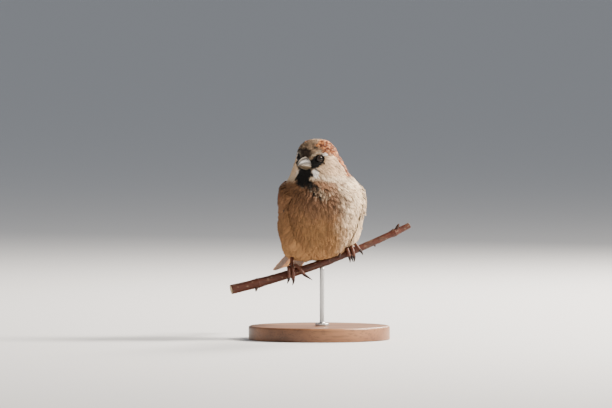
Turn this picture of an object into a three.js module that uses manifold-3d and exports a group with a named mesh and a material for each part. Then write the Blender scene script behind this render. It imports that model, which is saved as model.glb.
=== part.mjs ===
// A male house sparrow (Passer domesticus), fluffed up and perched on a short cut length of twig, as a
// life-size model on a small stand. Millimetres, +Z up. The trunk faces -Y, the bird's left side is +X, and
// the head is turned to the bird's right. The origin is the middle of the stand's underside. Inside the bird
// group the origin is the twig's centre line between the feet.
import * as THREE from "three";
import { mergeVertices } from "three/addons/utils/BufferGeometryUtils.js";
import Module from "manifold-3d";

const wasm = await Module();
wasm.setup();
const { Vector3 } = THREE;

// ---- driving dimensions ----
const GAP = 0.3; // clearance between neighbouring pieces
const PERCH_HEIGHT = 50; // twig's centre above the table, between the feet
const PERCH_Y = -7; // the twig lies a little ahead of the base's middle
const TWIG = { reach: [-61, 59], radius: [3.1, 1.9], slope: 0.34, curl: 0.00112 };
const FOOT_X = 20; // half the stance, along the twig
const BASE = { radius: 46, thickness: 9, chamfer: 1.2 };
const ROD = { radius: 1.5, collarRadius: 4.5, collarHeight: 2.2 };
const TAIL = { length: 58, baseWidth: 9, tipWidth: 23, droop: 21, feathers: 12, thickness: 0.8 };
const WING_CHORD = 76; // bend of the wing to the longest primary
const BILL = { root: 12, length: 13, halfWidth: 3.8, culmen: 4.3, gonys: 3.0, level: -3.1 };
const EYE_RADIUS = 2.7;
const EYE_PROUD = 0.5; // how far the eye stands out of the feathers
const HEAD = { at: [-5.4, -5.2, 68.3], turn: -45, nod: 1 }; // turn about +Z, bill-down nod, in degrees
const TOE_RADIUS = 1.15;
const TARSUS_RADIUS = 1.05;

const colours = {
  crown: 0x7d6f5f,
  cheek: 0xb9aea2,
  breast: 0xa8917a,
  wing: 0x7a4a2c,
  quill: 0x4a3a30,
  bill: 0x6f6a66,
  eye: 0x1c110c,
  leg: 0x8a5a48,
  claw: 0x3b2a24,
  bark: 0x5a2f22,
  base: 0x8c6a48,
  rod: 0xa8a8ac,
};

// ---- solids and meshes ----

// A closed three.js geometry as a manifold solid.
function solidOf(geometry) {
  const bare = geometry.clone();
  for (const name of Object.keys(bare.attributes)) if (name !== "position") bare.deleteAttribute(name);
  const merged = mergeVertices(bare, 1e-4);
  const made = new wasm.Manifold(
    new wasm.Mesh({
      numProp: 3,
      vertProperties: new Float32Array(merged.attributes.position.array),
      triVerts: new Uint32Array(merged.index.array),
    }),
  );
  return made;
}

// A manifold solid as a three.js geometry. Where a cut left crumbs, only the largest body is kept.
function geometryOf(solid) {
  const largest = solid.decompose().sort((a, b) => b.volume() - a.volume())[0];
  const mesh = largest.getMesh();
  const geometry = new THREE.BufferGeometry();
  geometry.setAttribute("position", new THREE.BufferAttribute(new Float32Array(mesh.vertProperties), 3));
  geometry.setIndex(new THREE.BufferAttribute(new Uint32Array(mesh.triVerts), 1));
  return geometry;
}

// Rings of points, all of one count, skinned into a closed surface. The ends are closed by a fan, or where
// the rings are flat bands folded back on themselves, by a strip between the band's two faces.
function loft(rings, banded = false) {
  const sides = rings[0].length;
  const points = [];
  const faces = [];
  for (const ring of rings) for (const p of ring) points.push(p.x, p.y, p.z);
  for (let r = 0; r + 1 < rings.length; r++)
    for (let i = 0; i < sides; i++) {
      const a = r * sides + i;
      const b = r * sides + ((i + 1) % sides);
      faces.push(a, b, b + sides, a, b + sides, a + sides);
    }
  for (const [r, flip] of [
    [0, true],
    [rings.length - 1, false],
  ]) {
    const cap = [];
    if (banded) {
      for (let i = 0; i + 1 < sides / 2; i++) {
        const [a, b, c, d] = [i, i + 1, sides - 2 - i, sides - 1 - i];
        cap.push([a, b, c], [a, c, d]);
      }
    } else {
      const middle = rings[r].reduce((sum, p) => sum.add(p), new Vector3()).divideScalar(sides);
      const centre = points.length / 3 - r * sides;
      points.push(middle.x, middle.y, middle.z);
      for (let i = 0; i < sides; i++) cap.push([i, (i + 1) % sides, centre]);
    }
    for (const face of cap) faces.push(...(flip ? face.reverse() : face).map((i) => r * sides + i));
  }
  if (signedVolume(points, faces) < 0) faces.reverse();
  const geometry = new THREE.BufferGeometry();
  geometry.setAttribute("position", new THREE.Float32BufferAttribute(points, 3));
  geometry.setIndex(faces);
  return geometry;
}

function signedVolume(points, faces) {
  const at = (i) => new Vector3(...points.slice(3 * i, 3 * i + 3));
  let total = 0;
  for (let f = 0; f < faces.length; f += 3)
    total += at(faces[f]).dot(at(faces[f + 1]).cross(at(faces[f + 2])));
  return total;
}

// An elliptical ring about a point, its half-widths lying along two directions.
function ellipse(centre, across, halfAcross, up, halfUp, sides) {
  return Array.from({ length: sides }, (_, i) => {
    const angle = (2 * Math.PI * i) / sides;
    return centre
      .clone()
      .addScaledVector(across, halfAcross * Math.cos(angle))
      .addScaledVector(up, halfUp * Math.sin(angle));
  });
}

// A round tube along a smooth curve through points. radiusAt is given the share of the way along.
function tube(points, radiusAt, steps, sides) {
  const curve = new THREE.CatmullRomCurve3(points, false, "centripetal");
  const frames = curve.computeFrenetFrames(steps, false);
  const rings = [];
  for (let i = 0; i <= steps; i++) {
    const t = i / steps;
    const r = radiusAt(t);
    rings.push(ellipse(curve.getPointAt(t), frames.normals[i], r, frames.binormals[i], r, sides));
  }
  return loft(rings);
}

const lerp = THREE.MathUtils.lerp;
const bump = (t, at, width) => Math.exp(-(((t - at) / width) ** 2));

// ---- the body as a smooth union of ellipsoids ----

// The distance field of an ellipsoid, tipped about X by pitch degrees (positive lifts its rear end).
function blob(x, y, z, rx, ry, rz, pitch = 0, frame = new THREE.Matrix4()) {
  const turn = new THREE.Matrix4().makeRotationX(THREE.MathUtils.degToRad(pitch));
  const place = frame.clone().multiply(new THREE.Matrix4().makeTranslation(x, y, z)).multiply(turn);
  const into = place.invert();
  const radii = new Vector3(rx, ry, rz);
  return (p) => {
    const far = p.clone().applyMatrix4(into).divide(radii);
    const slope = far.clone().divide(radii).length();
    return slope < 1e-9 ? -Math.min(rx, ry, rz) : (far.length() * (far.length() - 1)) / slope;
  };
}

const mirrored = (x, ...rest) => [blob(x, ...rest), blob(-x, ...rest)];

// Distance fields, negative inside, joined with a fillet of about the width given.
function smoothUnion(fields, blend) {
  return (p) =>
    fields.reduce((nearest, field) => {
      const d = field(p);
      const h = Math.max(blend - Math.abs(nearest - d), 0) / blend;
      return Math.min(nearest, d) - (h * h * blend) / 4;
    }, Infinity);
}

// A field with another taken out of it, the rim of the hollow rounded.
function hollowed(field, hollow, blend) {
  const outside = smoothUnion([(p) => -field(p), hollow], blend);
  return (p) => -outside(p);
}

// The solid that a field encloses, as seen from a point inside it: each direction runs out to the surface.
function starSolid(field, centre, detail, offset = 0) {
  const geometry = mergeVertices(
    new THREE.IcosahedronGeometry(1, detail).deleteAttribute("normal").deleteAttribute("uv"),
  );
  const position = geometry.attributes.position;
  for (let i = 0; i < position.count; i++) {
    const direction = new Vector3().fromBufferAttribute(position, i).normalize();
    let reach = 0;
    for (let step = 0; step < 160; step++) {
      const depth = offset - field(centre.clone().addScaledVector(direction, reach));
      if (depth < 0.005) break;
      reach += Math.max(0.8 * depth, 0.01);
    }
    const p = centre.clone().addScaledVector(direction, reach);
    position.setXYZ(i, p.x, p.y, p.z);
  }
  return solidOf(geometry);
}

// The half of space on the side that normal points to, as a large box.
function halfSpace(point, normal) {
  const size = 400;
  const box = new THREE.BoxGeometry(size, size, size);
  box.translate(0, 0, size / 2);
  box.applyQuaternion(new THREE.Quaternion().setFromUnitVectors(new Vector3(0, 0, 1), normal.clone().normalize()));
  box.translate(point.x, point.y, point.z);
  return solidOf(box);
}

// ---- head frame: x to the bird's left, -y along the bill, z up ----
const headFrame = new THREE.Matrix4()
  .makeTranslation(...HEAD.at)
  .multiply(new THREE.Matrix4().makeRotationZ(THREE.MathUtils.degToRad(HEAD.turn)))
  .multiply(new THREE.Matrix4().makeRotationX(THREE.MathUtils.degToRad(HEAD.nod)));
const onHead = (x, y, z) => new Vector3(x, y, z).applyMatrix4(headFrame);

const headBlob = (x, y, z, rx, ry, rz) => blob(x, y, z, rx, ry, rz, 0, headFrame);

const headField = smoothUnion(
  [
    headBlob(0, 1.6, -0.6, 13.0, 12.6, 12.0), // cranium
    headBlob(3.6, 1.0, 2.6, 9.0, 10.6, 9.4), // sides of the crown
    headBlob(-3.6, 1.0, 2.6, 9.0, 10.6, 9.4),
    headBlob(0, -6.2, 0.2, 8.2, 7.0, 7.6), // forehead
    headBlob(0, -8.4, -3.4, 6.4, 5.4, 6.0), // face
    headBlob(7.6, 3.0, -5.4, 7.6, 9.4, 7.6), // cheeks
    headBlob(-7.6, 3.0, -5.4, 7.6, 9.4, 7.6),
    headBlob(0, -5.4, -8.6, 6.4, 6.6, 6.2), // chin
  ],
  3,
);
// Room under the belly for the foot that stands higher on the twig.
const footHollow = blob(20.5, -2.5, 8.8, 8.5, 10.5, 5.6);
const fullTrunk = smoothUnion(
  [
    blob(-2.4, -1.5, 56.0, 17.0, 15.6, 12.5), // neck
    blob(-0.5, -5.0, 38, 24.8, 20.6, 19.5), // breast
    blob(-1.2, 3.0, 24, 24.6, 20.6, 22.6), // belly
    ...mirrored(12.0, 1, 45, 13.4, 14, 13.0), // shoulders
    blob(0, 9.5, 40, 18, 15.5, 18), // mantle
    blob(0, 22, 21, 15.0, 19, 12.5, -34), // rump
    blob(0, 37, 11.2, 8.8, 15, 5.0, -22), // tail coverts
  ],
  7,
);
const trunkField = hollowed(fullTrunk, footHollow, 2.5);
const wholeField = smoothUnion([headField, trunkField], 7);
const TRUNK_CENTRE = new Vector3(0, 4, 31);
const NECK_CENTRE = new Vector3(-3, -2.5, 58);
const HEAD_CENTRE = onHead(0, -0.5, -1);

// ---- the twig ----
const twigZ = (x) => TWIG.slope * x + TWIG.curl * x * x;
const twigAt = (x) => new Vector3(x, 0, twigZ(x));
const twigUp = (x) => new Vector3(-TWIG.slope - 2 * TWIG.curl * x, 0, 1).normalize();
const twigRadius = (x) =>
  lerp(...TWIG.radius, (x - TWIG.reach[0]) / (TWIG.reach[1] - TWIG.reach[0])) +
  0.55 * bump(x, 49, 2.6) +
  0.35 * bump(x, -43, 3) +
  0.25 * bump(x, 4, 4);

function twigSolid(swell = 0) {
  const [from, to] = TWIG.reach;
  const steps = 20;
  const sides = 10;
  const rings = [];
  for (let i = 0; i <= steps; i++) {
    const x = lerp(from, to, i / steps);
    const r = twigRadius(x) + swell;
    rings.push(ellipse(twigAt(x), new Vector3(0, 1, 0), r, twigUp(x), r, sides));
  }
  return solidOf(loft(rings));
}

// A pointed bud that leans along the twig. turn is the angle about the twig, 0 up and 90 towards -Y.
function bud(x, turn, length, radius, lean) {
  const a = THREE.MathUtils.degToRad(turn);
  const out = new Vector3(0, -Math.sin(a), Math.cos(a));
  const root = twigAt(x).addScaledVector(out, 0.4 * twigRadius(x));
  const tip = twigAt(x)
    .addScaledVector(out, twigRadius(x) + length)
    .add(new Vector3(lean, 0, lean * TWIG.slope));
  const waist = root.clone().lerp(tip, 0.55).addScaledVector(out, 0.2 * length);
  return solidOf(tube([root, waist, tip], (t) => radius * (1 - 0.82 * t ** 1.6), 4, 6));
}

function perch() {
  return [
    bud(50, 20, 2.6, 1.3, 1.6),
    bud(11, 75, 1.2, 1.1, 0.8),
    bud(-44, 150, 2.2, 1.2, -1.2),
    bud(35, 200, 1.5, 1.0, 1.4),
  ].reduce((wood, b) => wood.add(b), twigSolid());
}

// ---- trunk, neck and head, one form parted by two thin cuts ----
const neckCut = { at: new Vector3(-1, 0, 47), normal: new Vector3(-0.03, -0.08, 1).normalize() };
const headCut = { at: new Vector3(-5.4, -5.2, 56), normal: new Vector3(-0.05, -0.05, 1).normalize() };

function above(cut) {
  return halfSpace(cut.at.clone().addScaledVector(cut.normal, GAP / 2), cut.normal);
}

function below(cut) {
  return halfSpace(cut.at.clone().addScaledVector(cut.normal, -GAP / 2), cut.normal.clone().negate());
}

const trunkWithGap = starSolid(wholeField, TRUNK_CENTRE, 8, GAP).intersect(below(neckCut));

// ---- thighs, legs and feet ----
const feet = [
  {
    name: "left",
    side: 1,
    x: FOOT_X + 0.5,
    thigh: new Vector3(15.3, 9.5, 13.5),
    ankle: new Vector3(18.5, 8, 18),
    // Each toe runs from one angle round the twig to another, 0 at its top and 90 at the front. spread and
    // reach are how far out along the twig it starts and ends; drop is how far its end hangs off the bark.
    toes: [
      { name: "inner", from: 14, to: 112, spread: -3.0, reach: -3.8, drop: 0.3, claw: 4.2, lean: 0.2 },
      { name: "middle", from: 14, to: 128, spread: 0, reach: -0.8, drop: 0.5, claw: 4.4, lean: -0.3 },
      { name: "outer", from: 14, to: 92, spread: 2.6, reach: 3.6, drop: 0.2, claw: 4.0, lean: 0.4 },
      { name: "hind", from: -36, to: -118, spread: 0, reach: -0.6, drop: 0.4, claw: 4.8, lean: -0.6 },
    ],
  },
  {
    name: "right",
    side: -1,
    x: -FOOT_X + 0.7,
    thigh: new Vector3(-15.8, 9, 11.5),
    ankle: new Vector3(-18, 8.5, 9.5),
    toes: [
      { name: "inner", from: 14, to: 118, spread: -2.2, reach: -5.2, drop: 0.9, claw: 4.6, lean: -4.0 },
      { name: "middle", from: 14, to: 130, spread: 0, reach: 1.8, drop: 0.8, claw: 4.4, lean: 0.3 },
      { name: "outer", from: 14, to: 108, spread: 2.2, reach: 4.6, drop: 0.4, claw: 3.8, lean: 0.7 },
      { name: "hind", from: -36, to: -116, spread: 0, reach: 0.4, drop: 0.4, claw: 5.0, lean: 0.3 },
    ],
  },
];

// A point at a distance from the twig's centre line, at an angle round it.
function aroundTwig(x, degrees, radius) {
  const a = THREE.MathUtils.degToRad(degrees);
  return twigAt(x)
    .addScaledVector(twigUp(x), Math.cos(a) * radius)
    .add(new Vector3(0, -Math.sin(a) * radius, 0));
}

const toeStart = (foot) => aroundTwig(foot.x, 0, twigRadius(foot.x) + 2.3);

function toePoints(foot, toe) {
  const steps = 6;
  return Array.from({ length: steps + 1 }, (_, i) => {
    const t = i / steps;
    const x = foot.x + foot.side * lerp(toe.spread, toe.reach, t);
    const radius = twigRadius(x) + GAP + TOE_RADIUS * 1.12 + 0.5 * (1 - t) ** 2 + toe.drop * t ** 3;
    return aroundTwig(x, lerp(toe.from, toe.to, t), radius);
  });
}

// Toe: a tapering tube with a pad swelling at each joint.
function toeSolid(foot, toe) {
  const radius = (t) =>
    TOE_RADIUS * (0.92 - 0.14 * t + 0.1 * bump(t, 0.3, 0.09) + 0.1 * bump(t, 0.62, 0.08) + 0.12 * bump(t, 0.92, 0.08));
  return solidOf(tube(toePoints(foot, toe), radius, 7, 6));
}

// Claw: a curved cone that carries on from the toe's end and hooks back under the twig.
function clawSolid(foot, toe) {
  const points = toePoints(foot, toe);
  const end = points.at(-1);
  const along = end.clone().sub(points.at(-2)).normalize();
  const lean = new Vector3(foot.side * toe.lean, 0, 0);
  const hook = new Vector3(0, toe.name === "hind" ? -1 : 1, 0);
  const start = end.clone().addScaledVector(along, GAP + 0.25);
  const middle = start.clone().addScaledVector(along, toe.claw * 0.5).addScaledVector(lean, 0.4);
  const tip = start
    .clone()
    .addScaledVector(along, toe.claw * 0.86)
    .addScaledVector(hook, toe.claw * 0.3)
    .addScaledVector(lean, 0.9)
    .add(new Vector3(0, 0, -0.1 * toe.claw));
  return solidOf(tube([start, middle, tip], (t) => 0.72 * (1 - t) + 0.16 + 0.12 * bump(t, 0.1, 0.2), 4, 5));
}

function tarsusSolid(foot) {
  const bottom = toeStart(foot);
  const top = foot.ankle;
  const middle = bottom.clone().lerp(top, 0.5).add(new Vector3(0, -1.2, 0));
  const radius = (t) => TARSUS_RADIUS * (1.15 + 0.5 * bump(t, 0, 0.1) + 0.25 * bump(t, 1, 0.15) - 0.12 * bump(t, 0.5, 0.3));
  return solidOf(tube([bottom, middle, top], radius, 7, 7));
}

const thighField = ({ thigh }) => hollowed(blob(thigh.x, thigh.y, thigh.z, 6.6, 9, 8.2, 20), footHollow, 1.5);
const thighSolid = (foot, offset = 0) => starSolid(thighField(foot), foot.thigh, 3, offset);

// ---- wings ----

// A folded wing is a shell laid over the trunk. It is measured along an axis through the body, from the bend of
// the wing to its tip, and in degrees round that axis, 0 at the side and 90 on the back.
const WING = { axisFrom: new Vector3(0, -8, 44), fall: 32, clearance: 0.95, thickness: 1.5, tipThickness: 0.9 };
const wingFall = THREE.MathUtils.degToRad(WING.fall);
const wingAlong = new Vector3(0, Math.cos(wingFall), -Math.sin(wingFall));
const wingUp = new Vector3(0, Math.sin(wingFall), Math.cos(wingFall));
const wingLength = Math.sqrt(WING_CHORD ** 2 - 20 ** 2); // the wing closes in by 20 from bend to tip

// Values at even steps along the wing.
const along = (values, t) => {
  const at = t * (values.length - 1);
  const i = Math.min(values.length - 2, Math.floor(at));
  return lerp(values[i], values[i + 1], at - i);
};
const wingLowest = (t) => along([-6, -22, -35, -43, -44, -34, -15, 6, 21, 30, 34], t);
const wingHighest = (t) => along([6, 26, 44, 56, 62, 62, 60, 56, 52, 48, 42], t);
const wingInnermost = (t) => along([0, 0, 0, 0, 0, 6, 7.6, 7.6, 6.8, 6.2, 6.0], t);

const bodyField = smoothUnion([wholeField, ...feet.map(thighField)], 3);

// The outer and inner points of a wing's shell.
function wingPoint(t, degrees, side) {
  const a = THREE.MathUtils.degToRad(degrees);
  const axis = WING.axisFrom.clone().addScaledVector(wingAlong, wingLength * t);
  const out = new Vector3(side * Math.cos(a), 0, 0).addScaledVector(wingUp, Math.sin(a));
  let reach = 40;
  while (reach > 0 && bodyField(axis.clone().addScaledVector(out, reach)) > 0) reach -= 0.1;
  const radius = Math.max(reach, wingInnermost(t)) + WING.clearance;
  const inner = axis.clone().addScaledVector(out, radius);
  const outer = inner.clone().addScaledVector(out, lerp(WING.thickness, WING.tipThickness, t));
  return [outer, inner];
}

function wingSolid(side, from, to, steps) {
  const across = 7;
  const rings = [];
  for (let i = 0; i <= steps; i++) {
    const t = lerp(from, to, i / steps);
    const outer = [];
    const inner = [];
    for (let k = 0; k <= across; k++) {
      const [over, under] = wingPoint(t, lerp(wingLowest(t), wingHighest(t), k / across), side);
      outer.push(k % across ? over : over.lerp(under, 0.4));
      inner.unshift(under);
    }
    rings.push([...outer, ...inner]);
  }
  return solidOf(loft(rings, true));
}

// ---- tail: twelve overlapping feathers, the middle pair on top ----
const tailRoot = new Vector3(0, 36, 13.2);
const tailDroop = THREE.MathUtils.degToRad(TAIL.droop);
const tailAlong = new Vector3(0, Math.cos(tailDroop), -Math.sin(tailDroop));
const tailUp = new Vector3(0, Math.sin(tailDroop), Math.cos(tailDroop));

function tailFeather(index) {
  const rank = index - (TAIL.feathers - 1) / 2; // -5.5 at the right edge to 5.5 at the left
  const out = Math.abs(rank) / ((TAIL.feathers - 1) / 2);
  const spread = (rank / TAIL.feathers) * 2;
  const length = TAIL.length * (0.965 + 0.055 * out - 0.03 * out ** 6);
  const halfWidth = 3.4;
  const steps = 4;
  const rings = [];
  for (let i = 0; i <= steps; i++) {
    const t = (i / steps) ** 0.6;
    const side = spread * lerp(TAIL.baseWidth, TAIL.tipWidth - 2 * halfWidth, t) * 0.5;
    const taper = Math.min(1, 0.45 + 2.2 * t) * Math.sqrt(Math.max(0.06, 1 - ((t - 0.86) / 0.15) ** 2 * (t > 0.86)));
    const centre = tailRoot
      .clone()
      .addScaledVector(tailAlong, length * t)
      .addScaledVector(tailUp, 1.2 - 2.6 * out * out * 0.5 - 0.7 * out + 1.2 * Math.sin(Math.PI * t) * 0.4);
    centre.x = side;
    const across = new Vector3(1, 0, 0).addScaledVector(tailUp, -0.3 * Math.sign(rank) * out).normalize();
    const up = tailAlong.clone().cross(across).negate();
    rings.push(ellipse(centre, across, halfWidth * taper, up, TAIL.thickness / 2, 6));
  }
  return solidOf(loft(rings));
}

function tailSolid() {
  let fan = tailFeather(0);
  for (let i = 1; i < TAIL.feathers; i++) fan = fan.add(tailFeather(i));
  return fan;
}

// ---- bill and eyes ----

// The line where the bill opens, at a distance from the bill's root: down at the gape and at the hooked tip.
function billLine(distance) {
  const t = distance / BILL.length;
  return BILL.level - 1.5 * (1 - t) ** 2.4 - 0.7 * t ** 4;
}

// Half of the bill, above or below that line. Sections run from the face to the tip.
function billHalf(upper) {
  const steps = 7;
  const sides = 10;
  const length = upper ? BILL.length : BILL.length * 0.9;
  const depth = upper ? BILL.culmen : BILL.gonys;
  const rings = [];
  for (let i = 0; i <= steps; i++) {
    const t = i / steps;
    const distance = length * t;
    const halfWidth = BILL.halfWidth * (1 - t ** 1.25) ** 0.92 + 0.28;
    const height = (depth + (upper ? 1.2 : -0.9) * (1 - t) ** 2) * (1 - t ** (upper ? 2.1 : 1.5)) ** 0.85 + 0.3;
    const edge = billLine(distance) - (upper ? 0 : GAP);
    const ring = [];
    for (let k = 0; k < sides; k++) {
      const angle = (2 * Math.PI * k) / sides;
      const rise = Math.max(0, Math.sin(angle)) ** 0.87;
      const z = edge + (upper ? 1 : -1) * height * rise;
      ring.push(onHead(halfWidth * Math.cos(angle), -BILL.root - distance, z));
    }
    rings.push(ring);
  }
  return solidOf(loft(rings));
}

// Each eye lies just under the surface, looking sideways and a little ahead.
function eyeAt(side) {
  const from = onHead(0, -5.8, 0);
  const direction = onHead(side * 0.94, -5.8 - 0.34, 0.04).sub(from).normalize();
  let reach = 0;
  while (headField(from.clone().addScaledVector(direction, reach)) < 0) reach += 0.02;
  return from.addScaledVector(direction, reach - EYE_RADIUS + EYE_PROUD);
}

function eyeSolid(side, swell = 0) {
  const ball = new THREE.IcosahedronGeometry(EYE_RADIUS + swell, 2);
  const centre = eyeAt(side);
  ball.translate(centre.x, centre.y, centre.z);
  return solidOf(ball);
}

// ---- the stand, in its own frame on the table ----
function baseGeometry() {
  const { radius, thickness, chamfer } = BASE;
  const profile = [
    [0, 0],
    [radius - chamfer / 2, 0],
    [radius, chamfer / 2],
    [radius, thickness - chamfer],
    [radius - chamfer * 0.3, thickness - chamfer * 0.3],
    [radius - chamfer, thickness],
    [0, thickness],
  ].map((p) => new THREE.Vector2(...p));
  return new THREE.LatheGeometry(profile, 40).rotateX(Math.PI / 2);
}

function rodSolid(twig) {
  const height = PERCH_HEIGHT - BASE.thickness - GAP;
  const { radius, collarRadius, collarHeight } = ROD;
  const profile = [
    [0, 0],
    [collarRadius, 0],
    [collarRadius, collarHeight * 0.6],
    [radius + 0.6, collarHeight],
    [radius, collarHeight + 0.6],
    [radius, height],
    [0, height],
  ].map((p) => new THREE.Vector2(...p));
  const rod = new THREE.LatheGeometry(profile, 16).rotateX(Math.PI / 2);
  rod.translate(0, 0, -height);
  return solidOf(rod).subtract(twig);
}

// ---- assembly ----
const material = (colour, roughness = 0.8, metalness = 0) =>
  new THREE.MeshStandardMaterial({ color: colour, roughness, metalness });

function piece(name, solid, look) {
  const geometry = solid.isBufferGeometry ? solid : geometryOf(solid);
  const mesh = new THREE.Mesh(geometry, look);
  mesh.name = name;
  return mesh;
}

const bird = new THREE.Group();
bird.position.set(0, PERCH_Y, PERCH_HEIGHT);

const headForm = starSolid(wholeField, HEAD_CENTRE, 6).intersect(above(headCut));
const head = headForm.subtract(eyeSolid(1, GAP)).subtract(eyeSolid(-1, GAP));
const headWithGap = starSolid(wholeField, HEAD_CENTRE, 6, GAP);
bird.add(piece("head", head, material(colours.crown)));
bird.add(piece("bill_upper", billHalf(true).subtract(headWithGap), material(colours.bill, 0.45)));
bird.add(piece("bill_lower", billHalf(false).subtract(headWithGap), material(colours.bill, 0.45)));
bird.add(piece("eye_left", eyeSolid(1), material(colours.eye, 0.1)));
bird.add(piece("eye_right", eyeSolid(-1), material(colours.eye, 0.1)));

const neck = starSolid(wholeField, NECK_CENTRE, 6).intersect(below(headCut)).intersect(above(neckCut));
bird.add(piece("neck", neck, material(colours.cheek)));

const thighs = feet.map((foot) => thighSolid(foot));
const thighRoom = feet.map((foot) => thighSolid(foot, GAP));
const trunkForm = starSolid(wholeField, TRUNK_CENTRE, 8).intersect(below(neckCut));
const twigRoom = twigSolid(GAP);
bird.add(piece("trunk", trunkForm.subtract(twigRoom), material(colours.breast)));

// The breast feathers cover the bend of the left wing, so it starts further back.
const wingParts = [
  ["left", 1, 0.07],
  ["right", -1, 0],
];
const wingJoint = 0.4;
for (const [name, side, from] of wingParts) {
  const coverts = wingSolid(side, from, wingJoint, 6);
  const quills = wingSolid(side, wingJoint + GAP / wingLength, 1, 8);
  bird.add(piece(`wing_${name}_coverts`, coverts, material(colours.wing)));
  bird.add(piece(`wing_${name}_quills`, quills, material(colours.quill)));
}

bird.add(piece("tail", tailSolid().subtract(trunkWithGap), material(colours.quill)));

feet.forEach((foot, i) => {
  const thigh = thighs[i].subtract(trunkWithGap).subtract(twigRoom);
  bird.add(piece(`thigh_${foot.name}`, thigh, material(colours.breast)));
  const tarsus = tarsusSolid(foot).subtract(trunkWithGap).subtract(thighRoom[i]);
  bird.add(piece(`tarsus_${foot.name}`, tarsus, material(colours.leg, 0.6)));
  for (const toe of foot.toes) {
    bird.add(piece(`toe_${foot.name}_${toe.name}`, toeSolid(foot, toe), material(colours.leg, 0.6)));
    bird.add(piece(`claw_${foot.name}_${toe.name}`, clawSolid(foot, toe), material(colours.claw, 0.4)));
  }
});

bird.add(piece("perch", perch(), material(colours.bark)));
bird.add(piece("stand_rod", rodSolid(twigRoom), material(colours.rod, 0.35, 1)));

const sparrow = new THREE.Group();
sparrow.add(bird);
sparrow.add(piece("stand_base", baseGeometry(), material(colours.base, 0.5)));

export default sparrow;
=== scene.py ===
"""A male house sparrow, fluffed up on a cut twig, as a life-size still model on a small stand.

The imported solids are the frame. The flesh nodes give one smooth form: the skin lies inside it by the coat's
depth and the feathers reach back out to it. Lengths in this script are millimetres unless a name says
otherwise, and TO_METRES turns them into Blender's metres.
"""

import math

import bmesh
import bpy
import numpy as np
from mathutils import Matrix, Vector
from mathutils.bvhtree import BVHTree


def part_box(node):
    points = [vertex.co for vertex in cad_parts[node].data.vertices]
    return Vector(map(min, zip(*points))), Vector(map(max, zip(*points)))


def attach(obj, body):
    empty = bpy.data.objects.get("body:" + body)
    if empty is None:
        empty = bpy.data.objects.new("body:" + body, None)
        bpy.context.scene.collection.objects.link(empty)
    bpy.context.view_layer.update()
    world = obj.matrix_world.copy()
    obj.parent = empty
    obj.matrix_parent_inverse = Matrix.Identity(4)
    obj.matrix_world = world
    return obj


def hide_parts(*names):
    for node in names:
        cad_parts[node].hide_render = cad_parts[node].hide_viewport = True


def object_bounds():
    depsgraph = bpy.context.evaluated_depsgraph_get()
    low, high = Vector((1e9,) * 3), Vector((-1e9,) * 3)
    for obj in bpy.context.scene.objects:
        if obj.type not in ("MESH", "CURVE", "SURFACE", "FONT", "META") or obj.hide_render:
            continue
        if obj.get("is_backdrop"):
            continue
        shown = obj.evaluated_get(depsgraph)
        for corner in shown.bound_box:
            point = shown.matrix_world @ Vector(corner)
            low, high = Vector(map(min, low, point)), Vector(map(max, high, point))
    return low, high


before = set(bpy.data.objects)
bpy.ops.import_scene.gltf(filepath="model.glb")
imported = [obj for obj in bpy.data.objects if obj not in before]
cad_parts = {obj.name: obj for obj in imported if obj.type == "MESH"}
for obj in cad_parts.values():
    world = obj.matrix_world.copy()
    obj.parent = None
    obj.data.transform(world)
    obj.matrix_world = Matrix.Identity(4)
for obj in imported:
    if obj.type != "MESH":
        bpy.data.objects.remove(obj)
cad_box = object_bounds()

# ---- driving values, those of the solids ----
TO_METRES = 0.001
BIRD = np.array((0.0, -7.0, 50.0))  # the twig's centre line between the feet
HEAD_AT = BIRD + (-5.4, -5.2, 68.3)
HEAD_TURN, HEAD_NOD = math.radians(-45), math.radians(1)
BILL = {"root": 12.0, "length": 13.0, "half_width": 3.8, "culmen": 4.3, "gonys": 3.0, "level": -3.1}
EYE_OPENING = 2.1  # radius of the opening between the lids
TWIG = {"reach": (-61.0, 59.0), "radius": (3.1, 1.9), "slope": 0.34, "curl": 0.00112}
TAIL = {"length": 58.0, "base": 9.0, "tip": 23.0, "droop": math.radians(21), "feathers": 12}
WING = {"fall": math.radians(32), "length": math.sqrt(76**2 - 20**2), "from": BIRD + (0, -8, 44)}
WING_LOWEST = (-6, -22, -35, -43, -44, -34, -15, 6, 21, 30, 34)
WING_HIGHEST = (6, 26, 44, 56, 62, 62, 60, 56, 52, 48, 42)
FLESH = ("head", "neck", "trunk", "thigh_left", "thigh_right")
WINGS = {side: (f"wing_{side}_coverts", f"wing_{side}_quills") for side in ("left", "right")}
LEFTWARD = np.array((1.0, 0, 0))
FORWARD = np.array((0, -1.0, 0))
rng = np.random.default_rng(7)


# ---- small tools ----
def sloping(fall):
    """The directions along and up from a line that runs back and falls by an angle."""
    return np.array((0, math.cos(fall), -math.sin(fall))), np.array((0, math.sin(fall), math.cos(fall)))


def srgb(red, green, blue):
    """A colour as seen, 0 to 255, as linear light."""
    seen = np.array((red, green, blue)) / 255
    return np.where(seen <= 0.04045, seen / 12.92, ((seen + 0.055) / 1.055) ** 2.4)


def smooth(low, high, value):
    """0 below low and 1 above high, with an S between. low may be the greater."""
    share = np.clip((value - low) / (high - low), 0, 1)
    return share * share * (3 - 2 * share)


def unit(vectors):
    return vectors / np.maximum(np.linalg.norm(vectors, axis=-1, keepdims=True), 1e-9)


def dot(a, b):
    return np.sum(a * b, axis=-1, keepdims=True)


def mix(a, b, share):
    share = np.asarray(share)[..., None]
    return a * (1 - share) + b * share


def between(low, high, share):
    return low + (high - low) * share


def layered(colour, *layers):
    """A colour with others laid over it in turn, each with its share."""
    for tone, share in layers:
        colour = mix(colour, tone, share)
    return colour


def bump_at(value, centre, width):
    return np.exp(-(((value - centre) / width) ** 2))


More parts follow.
